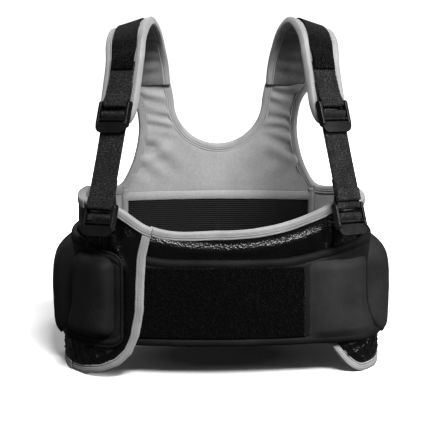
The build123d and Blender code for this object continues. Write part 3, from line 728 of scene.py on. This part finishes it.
def belt_profile(low, high, base, depth, fold=10.0):
    """Closed section of the belt as heights and distances: hems folded at both ends, a seam beside each."""
    rise = [(1.2, 0.6), (0.2, 2.2), (0.0, depth * 0.55), (0.8, depth * 0.9), (2.5, depth + 0.3)]
    rise += [(fold * 0.5, depth + 0.9), (fold - 1.2, depth + 0.3)]
    rise += [(fold, depth - 1.0), (fold + 1.4, depth + 0.1)]
    ends, outs = np.array(rise).T
    middle = np.linspace(low + fold + 5, high - fold - 5, 12)
    full = depth + 0.5 * np.sin(np.linspace(0, pi, 12))
    zs = np.concatenate([low + ends, middle, high - ends[::-1]])
    return zs, base + np.concatenate([outs, full, outs[::-1]])


rows = []
for u in np.linspace(118, ROUND_U, 520):
    z, s = belt_profile(42.0, float(belt_top(u)), 0.4, 8.0)
    wave = 0.5 * medium(u, z) + 0.25 * fine(u, z)
    rows.append(wall_point(u, z, s + wave * (s > 3.4)))
belt = tube("belt_sleeve", rows, CLOTH)
finish(belt, "vest", "belt_cloth", "belt_cover", "belt_core")


def hook_and_loop(name, body, node, u_ends, z_ends, base, thick, sunk, counts, rough, seed, wave=0.0):
    """A patch of pile that stands up from a distance, with random tufts."""
    rng = np.random.default_rng(seed)
    grids = (np.linspace(*ends, count) for ends, count in zip((u_ends, z_ends), counts))
    u, z = np.meshgrid(*grids, indexing="ij")
    edge = np.min([u - u_ends[0], u_ends[1] - u, z - z_ends[0], z_ends[1] - z], 0)
    top = base + thick * smooth(edge / 1.6) + rough * rng.normal(size=u.shape) * smooth(edge)
    z = z + wave * slow(u, z)
    piece = wall_sheet(name, u, z, top + 0.4 * wave * medium(u, z), sunk, PILE)
    return finish(piece, body, "loop_pile", node)


size_of_loop = ((-98, 114), (52, 141), 8.7, 1.7, 8.2, (260, 112))
hook_and_loop("loop_patch_pile", "vest", "loop_patch", *size_of_loop, 0.16, 21, wave=1.0)

# ---- pods

# in metres, how far a point may move and how near the base it counts as stitched; and the frames simulated
PUFF_CAP, STITCHED, PUFF_STEPS = 0.0022, 0.003, 20


def puff(obj, base):
    """Simulates a sewn pad: pressure fills it between its stitched edges, which stay on the base."""
    near = KDTree(len(base))
    for index, spot in enumerate(base):
        near.insert(spot, index)
    near.balance()
    group = obj.vertex_groups.new(name="stitched")
    group.add([v.index for v in obj.data.vertices if near.find(v.co)[2] < STITCHED], 1.0, "REPLACE")
    before = np.array([v.co[:] for v in obj.data.vertices])
    cloth = obj.modifiers.new("cloth", "CLOTH")
    cloth.settings.use_pressure = True
    cloth.settings.uniform_pressure_force = 4.0
    cloth.settings.vertex_group_mass = group.name
    cloth.settings.effector_weights.gravity = 0.0
    for step in range(1, PUFF_STEPS + 1):
        bpy.context.scene.frame_set(step)
    bake(obj)
    move = np.array([v.co[:] for v in obj.data.vertices]) - before
    far = np.linalg.norm(move, axis=1, keepdims=True)
    move = move * np.minimum(1.0, PUFF_CAP / np.maximum(far, 1e-9))
    obj.data.vertices.foreach_set("co", (before + move).ravel())
    bpy.context.scene.frame_set(1)


def bake(obj):
    """Puts the shape that the modifiers give into the mesh."""
    bpy.context.view_layer.update()
    shape = bpy.data.meshes.new_from_object(obj.evaluated_get(bpy.context.evaluated_depsgraph_get()))
    obj.modifiers.clear()
    obj.vertex_groups.clear()
    obj.data = shape


def pod(name, u0, u1, z0, z1, base, depth, ramp, mat, body, corner=14.0, dent=0.0, soft=False, tuck=0.0):
    """A moulded pad: a flat-topped dome with soft bevels, over the run u0..u1 and the heights z0..z1."""
    a, b = (np.sign(line) * np.abs(line) ** 0.82 for line in (np.linspace(-1, 1, 64), np.linspace(-1, 1, 56)))
    a, b = np.meshgrid(a, b, indexing="ij")
    half_u, half_z = (u1 - u0) / 2, (z1 - z0) / 2
    # the square grid is pulled into a rounded rectangle
    p, q = a * half_u, b * half_z
    inner_u, inner_z = half_u - corner, half_z - corner
    over_u, over_z = np.maximum(np.abs(p) - inner_u, 0), np.maximum(np.abs(q) - inner_z, 0)
    reach = np.maximum(over_u, over_z)
    length = np.sqrt(over_u**2 + over_z**2)
    pull = np.where(length > 1e-6, reach / np.maximum(length, 1e-6), 1.0)
    p = np.where(over_u > 0, np.sign(p) * (inner_u + over_u * pull), p)
    q = np.where(over_z > 0, np.sign(q) * (inner_z + over_z * pull), q)
    # how far each point is from the rounded rectangle's edge
    du, dz = half_u - np.abs(p), half_z - np.abs(q)
    over_u, over_z = np.maximum(corner - du, 0), np.maximum(corner - dz, 0)
    in_corner = (over_u > 0) & (over_z > 0)
    edge = np.where(in_corner, corner - np.sqrt(over_u**2 + over_z**2), np.minimum(du, dz))
    edge = np.clip(edge, 0, None)

    def swell(share):
        share = np.clip(share, 0, 1)
        return smooth(share) if soft else np.sqrt(np.clip(1 - (1 - share) ** 2.4, 0, 1))

    rise = swell(du / ramp[0]) * swell(dz / ramp[1]) * swell(edge / (0.7 * corner))
    crown = 1 + 0.07 * (1 - (p / half_u) ** 2) * (1 - (q / half_z) ** 2)
    u, z = (u0 + u1) / 2 + p, (z0 + z1) / 2 + q
    full = depth * crown / 1.07 - tuck * smooth((100 - z) / 50) + dent * medium(u, z)
    sunk = base(u) - 0.6
    blank = wall_sheet(name, u, z, base(u) + full * rise, sunk, mat)
    puff(blank, in_frame(wall_point(u, z, sunk).reshape(-1, 3)))
    blank.modifiers.new("finer", "SUBSURF").levels = 1
    bake(blank)
    node = name.removesuffix("_cloth")
    return finish(blank, body, "belt_cloth", f"{node}_cover", f"{node}_core")


# the pods on the wearer's left take the lighter pod cloth: partly a lighter cloth, partly painted light from
# the key lamp on that side
left_pad = (-194, -98, 45, 150, flat(8.0), 5.0, (24.0, 16.0))
pod("left_front_pad_cloth", *left_pad, POD_LIT, "vest", corner=10.0, dent=0.3, soft=True)
for side, ends, mat in (("left", (-332, -192), POD_LIT), ("right", (201, 332), POD)):
    side_pod = (*ends, 39, 160, flat(8.6), 24.0, (30.0, 46.0))
    pod(f"{side}_side_pod_cloth", *side_pod, mat, "vest", corner=30.0, dent=0.5, tuck=9.0)

# ---- front flap

# the flap's body, and two points that mark a band beside its hinge
HINGE_BEND = ("flap", *(tuple(in_frame(wall_point(HINGE_U + d, 107.0, 4.0))) for d in (1.0, -24.0)))


def edge_beside(z):
    """The run of the free edge at a height of a grid that ends at the full height of the rim."""
    return flap_edge_run(HEM + (z - HEM) * (186.0 / (RIM - HEM)))


def flap_grid(nu, nz):
    """Runs and heights over the flap: from its hinge to its curved free edge."""
    start, zs = HINGE_U - 0.5, np.linspace(HEM, RIM, nz)
    u = start + (edge_beside(zs) - start) * np.linspace(0, 1, nu)[:, None]
    return u, HEM + (zs - HEM) / (RIM - HEM) * (flap_rim(u) - 0.5 - HEM)


FLAP_MID = flap_at(0.5)
turned = np.s_[:, ::-1]
u, z = flap_grid(150, 150)
tug = np.exp(-(((u - 146) / 26) ** 2)) * smooth((z - 110) / 70)
folds = 1.5 * tug * np.sin((u - 146) * 0.42 + 0.02 * (z - 200)) + 0.9 * medium(u, z) + 0.5 * fine(u, z)
folds = folds + 1.6 * np.sin((z * 0.9 + u) * 0.22) * (1 - smooth((z - 20) / 30)) * medium(u, z)
free = smooth((u - edge_beside(z) - 9) / 12)
folds = folds * free * smooth((z - 9) / 8) * smooth((flap_rim(u) - 12 - z) / 14)
outer = flap_at(1.0)(u) + folds * 0.5 + leather_folds(u, z) * free
shell = wall_sheet("flap_shell_cloth", u, z, outer, flap_at(0.8)(u) + folds * 0.4, LEATHER, turned)
finish(shell, "vest", "shell_leather", "flap_shell", "flap_foam", blend=HINGE_BEND)
u, z = flap_grid(80, 70)
inner = flap_at(0.0)(u) - 0.4 * medium(u, z)
inside = wall_sheet("flap_lining_cloth", u, z, flap_at(0.18)(u), inner, LINING, turned)
finish(inside, "vest", "lining_cloth", "flap_lining", blend=HINGE_BEND)

us = np.linspace(HINGE_U - 1, float(run_at(86.0, QUARTER, 400)), 160)
flap_tape = {"flip": -1, "blend": HINGE_BEND}
edge_tape("flap_rim_tape", us, flap_rim(us), FLAP_MID, 3.5, TAPE, ("flap_rim_binding",), seed=7, **flap_tape)
zs = np.concatenate([np.linspace(181, 40, 70), np.linspace(38, 5, 30)])
us = flap_edge_run(zs)
us = np.concatenate([us, np.linspace(us[-1] + 3, HINGE_U - 1, 16)])
zs = np.concatenate([zs, np.linspace(3.6, HEM, 16)])
node = ("flap_edge_binding",)
edge_tape("flap_edge_tape", us, zs, FLAP_MID, 2.8, TAPE_SHADED, node, width=8.8, seed=8, **flap_tape)

size_of_hook = ((100, 113), (57, 137), 10.9, 0.9, 10.8, (30, 80))
hook_and_loop("hook_patch_pile", "flap", "hook_patch", *size_of_hook, 0.05, 22)

# the belt's end on the flap, with a corded edge
END_U = 122  # the run of its tip


def end_limits(u):
    """The belt end's lower and upper height at a run: its front corners are round."""
    near = 1 - np.clip((u - END_U) / 70.0 / 0.2, 0, 1)
    fall = 15 * (1 - np.sqrt(np.clip(1 - near**2, 0, 1)))
    return 44 + fall, 159 + 10 * smooth((u - 130) / 60) - fall


end_us = np.concatenate([END_U + 14 * np.linspace(0.004, 1, 22) ** 2, np.linspace(137, HINGE_U - 1, 40)])
rows = []
for u in end_us:
    low, high = end_limits(u)
    base = float(flap_at(1, 0.3)(u))
    z, s = belt_profile(low, high, base, 7.6, fold=min(9.0, (high - low) * 0.2))
    full = 0.35 + 0.65 * smooth((u - END_U + 0.1) / 3.0)
    rows.append(wall_point(u, z, base + (s - base) * full + 0.4 * medium(u, z)))
end = tube("belt_end_sleeve", np.array(rows)[:, ::-1], CLOTH)
finish(end, "vest", "belt_cloth", "belt_end_cover", "belt_end_core", blend=HINGE_BEND)

low, high = end_limits(end_us)
path = np.concatenate([np.stack([end_us, high + 0.6], -1)[::-1], np.stack([end_us, low - 0.6], -1)])
u, z = resample(path, 2.0).T
cord_line = wall_point(u, z, flap_at(1, 6.6)(u))
normal = unit(wall_point(u, z, flap_at(1, 8.0)(u)) - cord_line)
outwards = unit(np.cross(direction(cord_line), normal))
turns = np.linspace(0, 2 * pi, 12, endpoint=False)
circle = 1.9 * np.stack([np.cos(turns), np.sin(turns)], -1)
cord = sweep("belt_end_cord", cord_line, outwards, normal, circle, CORD)
finish(cord, "vest", "belt_cloth", "belt_end_piping", blend=HINGE_BEND)
front_pod = (129.5, 190, 53, 156, flap_at(1, 7.6), 19.5, (19.0, 22.0))
pod("right_front_pod_cloth", *front_pod, POD, "flap", corner=15.0, dent=0.6)

# ---- shoulder pads and webbing, drawn for the left side and mirrored

FOOT = np.array([154.0, -126.5, 212.0])
UP = unit(np.array([-0.168, 0.305, 0.937]))
ACROSS = np.array([0.788, 0.616, 0.0])
ACROSS = unit(ACROSS - UP * (ACROSS @ UP))
OUT = np.cross(ACROSS, UP)


def strap(t, h=0.0):
    """Points of the straps' frame: t along it, up from its foot, and h outwards."""
    return FOOT + np.multiply.outer(np.asarray(t, float), UP) + np.multiply.outer(np.asarray(h, float), OUT)


# the middle line of the pad from the yoke over the shoulder, and its direction across at each point
PAD_CENTRES = [(96.5, 106.5, 343.5), (98.5, 101, 379), (103.5, 78, 408.5), (110, 40, 423.5), (115, 0, 425)]
PAD_CENTRES += [(119.5, -38, 412.5)]
PAD_CENTRES += [strap(t, h) + 3.5 * ACROSS for t, h in ((190, -6.6), (150, -9.4), (112, -11.6))]
PAD_ACROSS = [(1, 0, 0), (0.99, 0.08, 0), (0.96, 0.2, -0.1), (0.9, 0.3, -0.25), (0.86, 0.4, -0.3)]
PAD_ACROSS += [(0.83, 0.5, -0.2), ACROSS, ACROSS, ACROSS]
PAD_STEP = 2.0
pad_line = along_curve(np.concatenate([PAD_CENTRES, PAD_ACROSS], 1), PAD_STEP)
pad_mid, pad_side = pad_line[:, :3], pad_line[:, 3:]
pad_dir = direction(pad_mid)
pad_side = unit(pad_side - pad_dir * (pad_side * pad_dir).sum(1)[:, None])
pad_out = np.cross(pad_dir, pad_side)
count = len(pad_mid)
LENGTH = (count - 1) * PAD_STEP
pad_run = np.linspace(0, 1, count) * LENGTH
# the strap sits a little inwards of the middle of the pad
pad_shift = smooth((pad_run - (LENGTH - 150)) / 70)


def pad_half(run):
    """Half the width of the pad: wider at the yoke, and drawn in to a round tip."""
    body = 30.5 - 2.5 * smooth(run / 60) - 2.5 * smooth((run - 120) / 110)
    left = np.clip((LENGTH - run) / 30.0, 0, 1)
    return body * (0.42 + 0.58 * np.sqrt(np.clip(1 - (1 - left) ** 2.2, 0, 1)))


def mirror(points, side):
    """Puts points that are drawn for the left side on a side."""
    return points * (1 if side == "left" else -1, 1, 1)


def place(rows, side):
    """Puts closed sections on a side; a mirrored loop is turned round, so that its skin faces outwards."""
    rows = mirror(rows, side)
    return rows if side == "left" else rows[:, ::-1]


def pad_rows(inner, outer, wave, seed):
    """Closed sections of a layer of the pad between two distances from its middle, waved on its free side."""
    q = np.linspace(-1, 1, 25)
    crown = 1.2 * (1 - q**2)
    rows = []
    for k in range(count):
        run = pad_run[k]
        across = q * (pad_half(run) - 1.0)
        level = 0.6 * np.sin(run * 0.32 + 1.8 * slow(run * 2, across)) * (1 - q**2)
        bump = wave * (medium(run + 300 * seed, across * 2) + level)
        bump = np.maximum(bump, -1.2) * (1 - smooth((np.abs(q) - 0.55) / 0.25))
        if outer > 0:
            top, bottom = outer + crown + bump, inner + crown
        else:
            top, bottom = outer + crown, inner - crown - bump
        section = np.concatenate([np.stack([across, top], -1), np.stack([across[::-1], bottom[::-1]], -1)])
        rows.append(pad_mid[k] + section[:, :1] * pad_side[k] + section[:, 1:] * pad_out[k])
    return np.array(rows)


def pad_blend(side):
    """The strap's body for a side, and two points: on the top of the shoulder, and down the strap."""
    ends = np.array([110.0, 40.0, 428.0]), strap(190)
    return (f"{side}_strap", *(tuple(in_frame(mirror(end, side))) for end in ends))


def strip_rows(centres, sideways, width, thick):
    """Closed sections of flat webbing with round edges."""
    tangent = direction(centres)
    side = unit(sideways - tangent * (sideways * tangent).sum(1)[:, None])
    out = np.cross(tangent, side)
    half, h = width / 2, thick / 2
    face = [(a * (half - 0.7), h) for a in np.linspace(-1, 1, 15)]
    face += [(half - 0.15, h * 0.6), (half, 0), (half - 0.15, -h * 0.6)]
    section = np.array(face)
    other = np.array(face[:15])[::-1] * (1, -1)
    section = np.concatenate([section, other, section[15:] * (-1, -1)])
    return centres[:, None] + side[:, None] * section[None, :, :1] + out[:, None] * section[None, :, 1:]


def path_rows(points, width, thick, wave, seed):
    """Webbing along a path of (t, h) points on the strap."""
    step = 1.6
    line = resample(np.array(points, float), step)
    centres = strap(line[:, 0], 0) + line[:, 1:2] * OUT
    rows = strip_rows(centres, np.repeat(ACROSS[None], len(centres), 0), width, thick)
    run = np.arange(len(centres))[:, None] * step
    across = (rows - centres[:, None]) @ ACROSS
    level = 0.7 * np.sin(run * 1.05 + 1.6 * medium(run * 3 + seed, across * 2))
    return rows + (wave * (level + 0.8 * fine(run + seed, across)))[..., None] * OUT


def arc_points(t, h, radius, start, bend, count=14):
    angles = np.radians(start + bend * np.linspace(0, 1, count))
    return [(t + radius * cos(a), h + radius * sin(a)) for a in angles]


# places t of the bars that webbing turns round, two in the upper lock and the upper one of the lower lock; how
# far out the lower lock lies, and the radius of a turn
TOP, MAIN, LOW, LOW_OUT, LOOP = 133.0, 121.0, 6.0, -6.9, 3.3
sleeve = [(TOP + 55, -0.4), (TOP + 40, -0.4), (TOP + 26, -0.2), (TOP + 12, 0.8), (TOP + 4, LOOP)]
sleeve += arc_points(TOP, 0, LOOP, 90, 180) + [(TOP + 4, -LOOP), (TOP + 12, -2.6), (TOP + 28, -2.9)]
load = [(LOW + 34, -5.1), (LOW + 17, -5.1), (LOW + 5, LOW_OUT - LOOP)]
load += arc_points(LOW, LOW_OUT, LOOP, -90, -180) + [(LOW + 8, -3.5), (MAIN - 6, -3.6)]
load += arc_points(MAIN, 0, LOOP, -90, 225) + [(MAIN - 6.0, -1.0), (MAIN - 12, -1.5), (70, -1.9), (40, -1.5)]


def web_seams(name, side, spots, body):
    """Rows of stitches across the webbing at given (t, h) spots."""
    rng = np.random.default_rng(9)
    points, faces, uvs = [], [], []
    turns = np.linspace(0, 2 * pi, 6, endpoint=False)
    stitch = ((0, 0.12), (0.2, 0.3), (0.8, 0.3), (1.0, 0.12))  # share of its length, radius
    for t, h, half in spots:
        for a in np.arange(-half, half, 3.3):
            start = strap(t, h) + ACROSS * (a + rng.uniform(-0.2, 0.2))
            base = len(points)
            for share, radius in stitch:
                for turn in turns:
                    points.append(start + ACROSS * 2.3 * share + (UP * cos(turn) + OUT * sin(turn)) * radius)
                    uvs.append((share, turn))
            for ring in range(base, base + 18, 6):
                for k in range(6):
                    n = (k + 1) % 6
                    faces.append([ring + k, ring + n, ring + n + 6, ring + k + 6])
            faces.append([base + k for k in range(6)][::-1])
            faces.append([base + 18 + k for k in range(6)])
    if side == "right":
        faces = [f[::-1] for f in faces]
    obj = build(name, mirror(np.array(points), side), faces, uvs, THREAD)
    return finish(obj, body, "webbing")


# the left strap's body, and two points along the strap between its anchor and the lock that slides with the
# strap
STRETCH = ("left_strap", *(tuple(in_frame(strap(t))) for t in (30, 100)))


def anchor_spot(side, z, off):
    """A point off the front wall or the flap, under the lower lock, drawn for the left side."""
    if side == "right":
        return mirror(wall_point(154.0, z, float(flap_at(1)(154.0)) + off), side)
    return wall_point(-154.0, z, off)


# the pad tape on the wearer's right takes the darker tape, painted shade for the side away from the key lamp
for side, body, rim_mat, tail in (("left", "vest", TAPE, 14), ("right", "flap", TAPE_SHADED, 5)):
    blend = pad_blend(side)
    cover = tube(f"{side}_pad_cover_cloth", place(pad_rows(0.0, 3.9, 0.25, 1), side), LEATHER)
    finish(cover, "vest", "shell_leather", f"{side}_pad_cover", f"{side}_pad_foam", blend=blend)
    under = tube(f"{side}_pad_lining_cloth", place(pad_rows(-3.9, -0.2, 1.5, 2), side), PAD_LINING)
    finish(under, "vest", "lining_cloth", f"{side}_pad_lining", blend=blend)

    # the tape goes down one edge, round the tip and up the other
    halves = pad_half(pad_run)[:, None]
    tip = np.linspace(-1, 1, 15)[1:-1, None]
    tip_edge = pad_mid[-1] + pad_side[-1] * (tip * halves[-1]) + pad_dir[-1] * (3.0 * (1 - tip**2))
    edge = np.concatenate([pad_mid - pad_side * halves, tip_edge, (pad_mid + pad_side * halves)[::-1]])
    outs = np.concatenate([pad_out, np.repeat(pad_out[-1:], len(tip), 0), pad_out[::-1]])
    both = resample(np.concatenate([edge, outs], 1), TAPE_STEP)
    edge, outs = both[:, :3], unit(both[:, 3:])
    away = unit(np.cross(direction(edge), outs))
    if away[5] @ pad_side[2] > 0:
        away = -away
    line = [mirror(v, side) for v in (edge, outs, away)]
    if side == "left":
        line = [v[::-1] for v in line]
    rim_tape = binding(f"{side}_pad_tape", *line, 8.6, 3.7, rim_mat, 11)
    finish(rim_tape, "vest", "binding_tape", f"{side}_pad_binding", blend=blend)

    # the loop strip rises over the end of the webbing
    stop = int(count * 0.985 - 62 / PAD_STEP) + 1
    over_web = 2.6 * smooth((pad_run - (LENGTH - 92)) / 14)[:, None]
    strip_mid = (pad_mid + pad_out * (6.1 + over_web) - pad_side * 3.5 * pad_shift[:, None])[:stop]
    strip_loops = strip_rows(strip_mid, pad_side[:stop], 34.5, 1.7)
    strip = tube(f"{side}_loop_strip_pile", place(strip_loops, side), PILE)
    finish(strip, "vest", "loop_pile", f"{side}_loop_strip", blend=blend)

    web = tube(f"{side}_upper_web", place(path_rows(sleeve, 36.0, 1.6, 0.4, 3), side), WEB)
    finish(web, f"{side}_strap", "webbing", f"{side}_upper_webbing")
    spots = [(TOP + 12.5, 1.7, 16), (TOP + 10.0, 1.9, 16)]
    web_seams(f"{side}_upper_web_stitches", side, spots, f"{side}_strap")

    hem_fold = [(tail - 1.4, -1.5), (tail - 2.0, -0.7), (tail - 1.2, 0.1), (tail + 13, -0.1)]
    main_rows = path_rows(load + [(tail, -1.4)], 37.5, 1.5, 0.12, 6)
    main = tube(f"{side}_adjuster_web", place(main_rows, side), WEB)
    fold = tube(f"{side}_adjuster_web_hem", place(path_rows(hem_fold, 37.6, 1.5, 0.08, 8), side), WEB)
    stretch = STRETCH if side == "left" else None
    finish(main, body, "webbing", f"{side}_adjuster_strap", blend=stretch)
    finish(fold, body, "webbing")
    web_seams(f"{side}_hem_stitches", side, [(tail + 10.5, 0.9, 17), (tail + 8.0, 0.9, 17)], body)

    # the anchor leaves the wall, turns round the lower bar of the lower lock and comes back
    bar = LOW - 12
    start = [anchor_spot(side, z, off) for z, off in ((160.0, 1.4), (176.0, 1.6), (188.0, 3.2))]
    start += [strap(bar - 6, LOW_OUT - 4.2), strap(bar - 2, LOW_OUT - LOOP)]
    around = [strap(t, h) for t, h in arc_points(bar, LOW_OUT, LOOP, -90, 225)]
    back = [strap(bar - 7, LOW_OUT - 1.0), strap(bar - 18, LOW_OUT - 1.6)]
    line = along_curve(start + around[1:] + back, 1.6)
    on_strap = smooth(np.arange(len(line)) * 1.6 / 40)[:, None]
    sides = unit(np.array([0.83, 0.56, 0.0])) * (1 - on_strap) + ACROSS * on_strap
    anchor = tube(f"{side}_anchor_web", place(strip_rows(line, sides, 37.5, 1.6), side), WEB)
    finish(anchor, body, "webbing", f"{side}_anchor_webbing")

for name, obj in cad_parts.items():
    if name.endswith("_lock"):
        for lock_slot in obj.material_slots:
            lock_slot.material = PLASTIC

# ---- floor, light and camera


def aim(obj, where, target):
    obj.location = where
    obj.rotation_euler = (Vector(target) - Vector(where)).to_track_quat("-Z", "Y").to_euler()


floor_mesh = bpy.data.meshes.new("floor")
floor_mesh.from_pydata([(-8, -8, 0), (8, -8, 0), (8, 8, 0), (-8, 8, 0)], [], [(0, 1, 2, 3)])
floor = add_object("floor", floor_mesh)
# To the camera the floor is white, glows like the world far from the vest, and has a painted shadow under it.
# To other rays it is dark, so that it throws little light up at the vest.
white = Nodes("floor_white")
seen = white.add("ShaderNodeLightPath").outputs["Is Camera Ray"]
spot = white.add("ShaderNodeNewGeometry").outputs["Position"]
away = white.add("ShaderNodeVectorMath", {0: spot}, operation="LENGTH").outputs["Value"]
far = white.ramp(away, 0.55, 1.1)
# a painted shadow: to the camera, the floor's colour darkens within an ellipse under the vest
under = white.add("ShaderNodeMapping", {"Vector": spot, "Scale": (5.2, 7.4, 0.0)}).outputs[0]
under = white.add("ShaderNodeVectorMath", {0: under}, operation="LENGTH").outputs["Value"]
shade = white.ramp(under, 0.35, 1.08, 0.12, 1.0)
white.set(Base_Color=white.colour(white.math("MULTIPLY", seen, shade), 0.1, 1.3), Roughness=0.9)
white.set(Specular_IOR_Level=0.0, Emission_Color=(1, 1, 1, 1))
white.set(Emission_Strength=white.math("MULTIPLY", far, seen))
floor_mesh.materials.append(white.made)

# the world is white to the camera and dim to the vest, which the lamps light
world = Nodes("studio", bpy.data.worlds, "Background")
seen = world.add("ShaderNodeLightPath").outputs["Is Camera Ray"]
world.set(Color=(1, 1, 1, 1), Strength=world.ramp(seen, 0.0, 1.0, 0.035, 1.0))
for name, where, height, power, *extent in (
    ("key", (1.7, -0.9, 1.1), 0.2, 24, 0.4, 0.8),
    ("fill", (-1.7, -1.1, 0.9), 0.2, 4, 0.3, 0.9),
    ("front_top", (0.35, -1.75, 1.9), 0.1, 72, 0.9, 0.5),
    ("back_light", (-0.3, 1.6, 1.5), 0.3, 12, 0.8, 0.5),
):
    light = bpy.data.lights.new(name, "AREA")
    light.energy, light.shape = power, "RECTANGLE"
    light.size, light.size_y = extent
    aim(add_object(name, light), where, (0, 0, height))

camera = bpy.data.cameras.new("camera")
camera.lens, camera.sensor_width = 122.4, 36.0
eye = add_object("camera", camera)
aim(eye, (-0.0731, -1.8602, 0.5139), (-0.0078, 0.0098, 0.184))
scene = bpy.context.scene
scene.camera, scene.world = eye, world.made
scene.view_settings.view_transform = "Standard"
scene.view_settings.look = "Medium High Contrast"
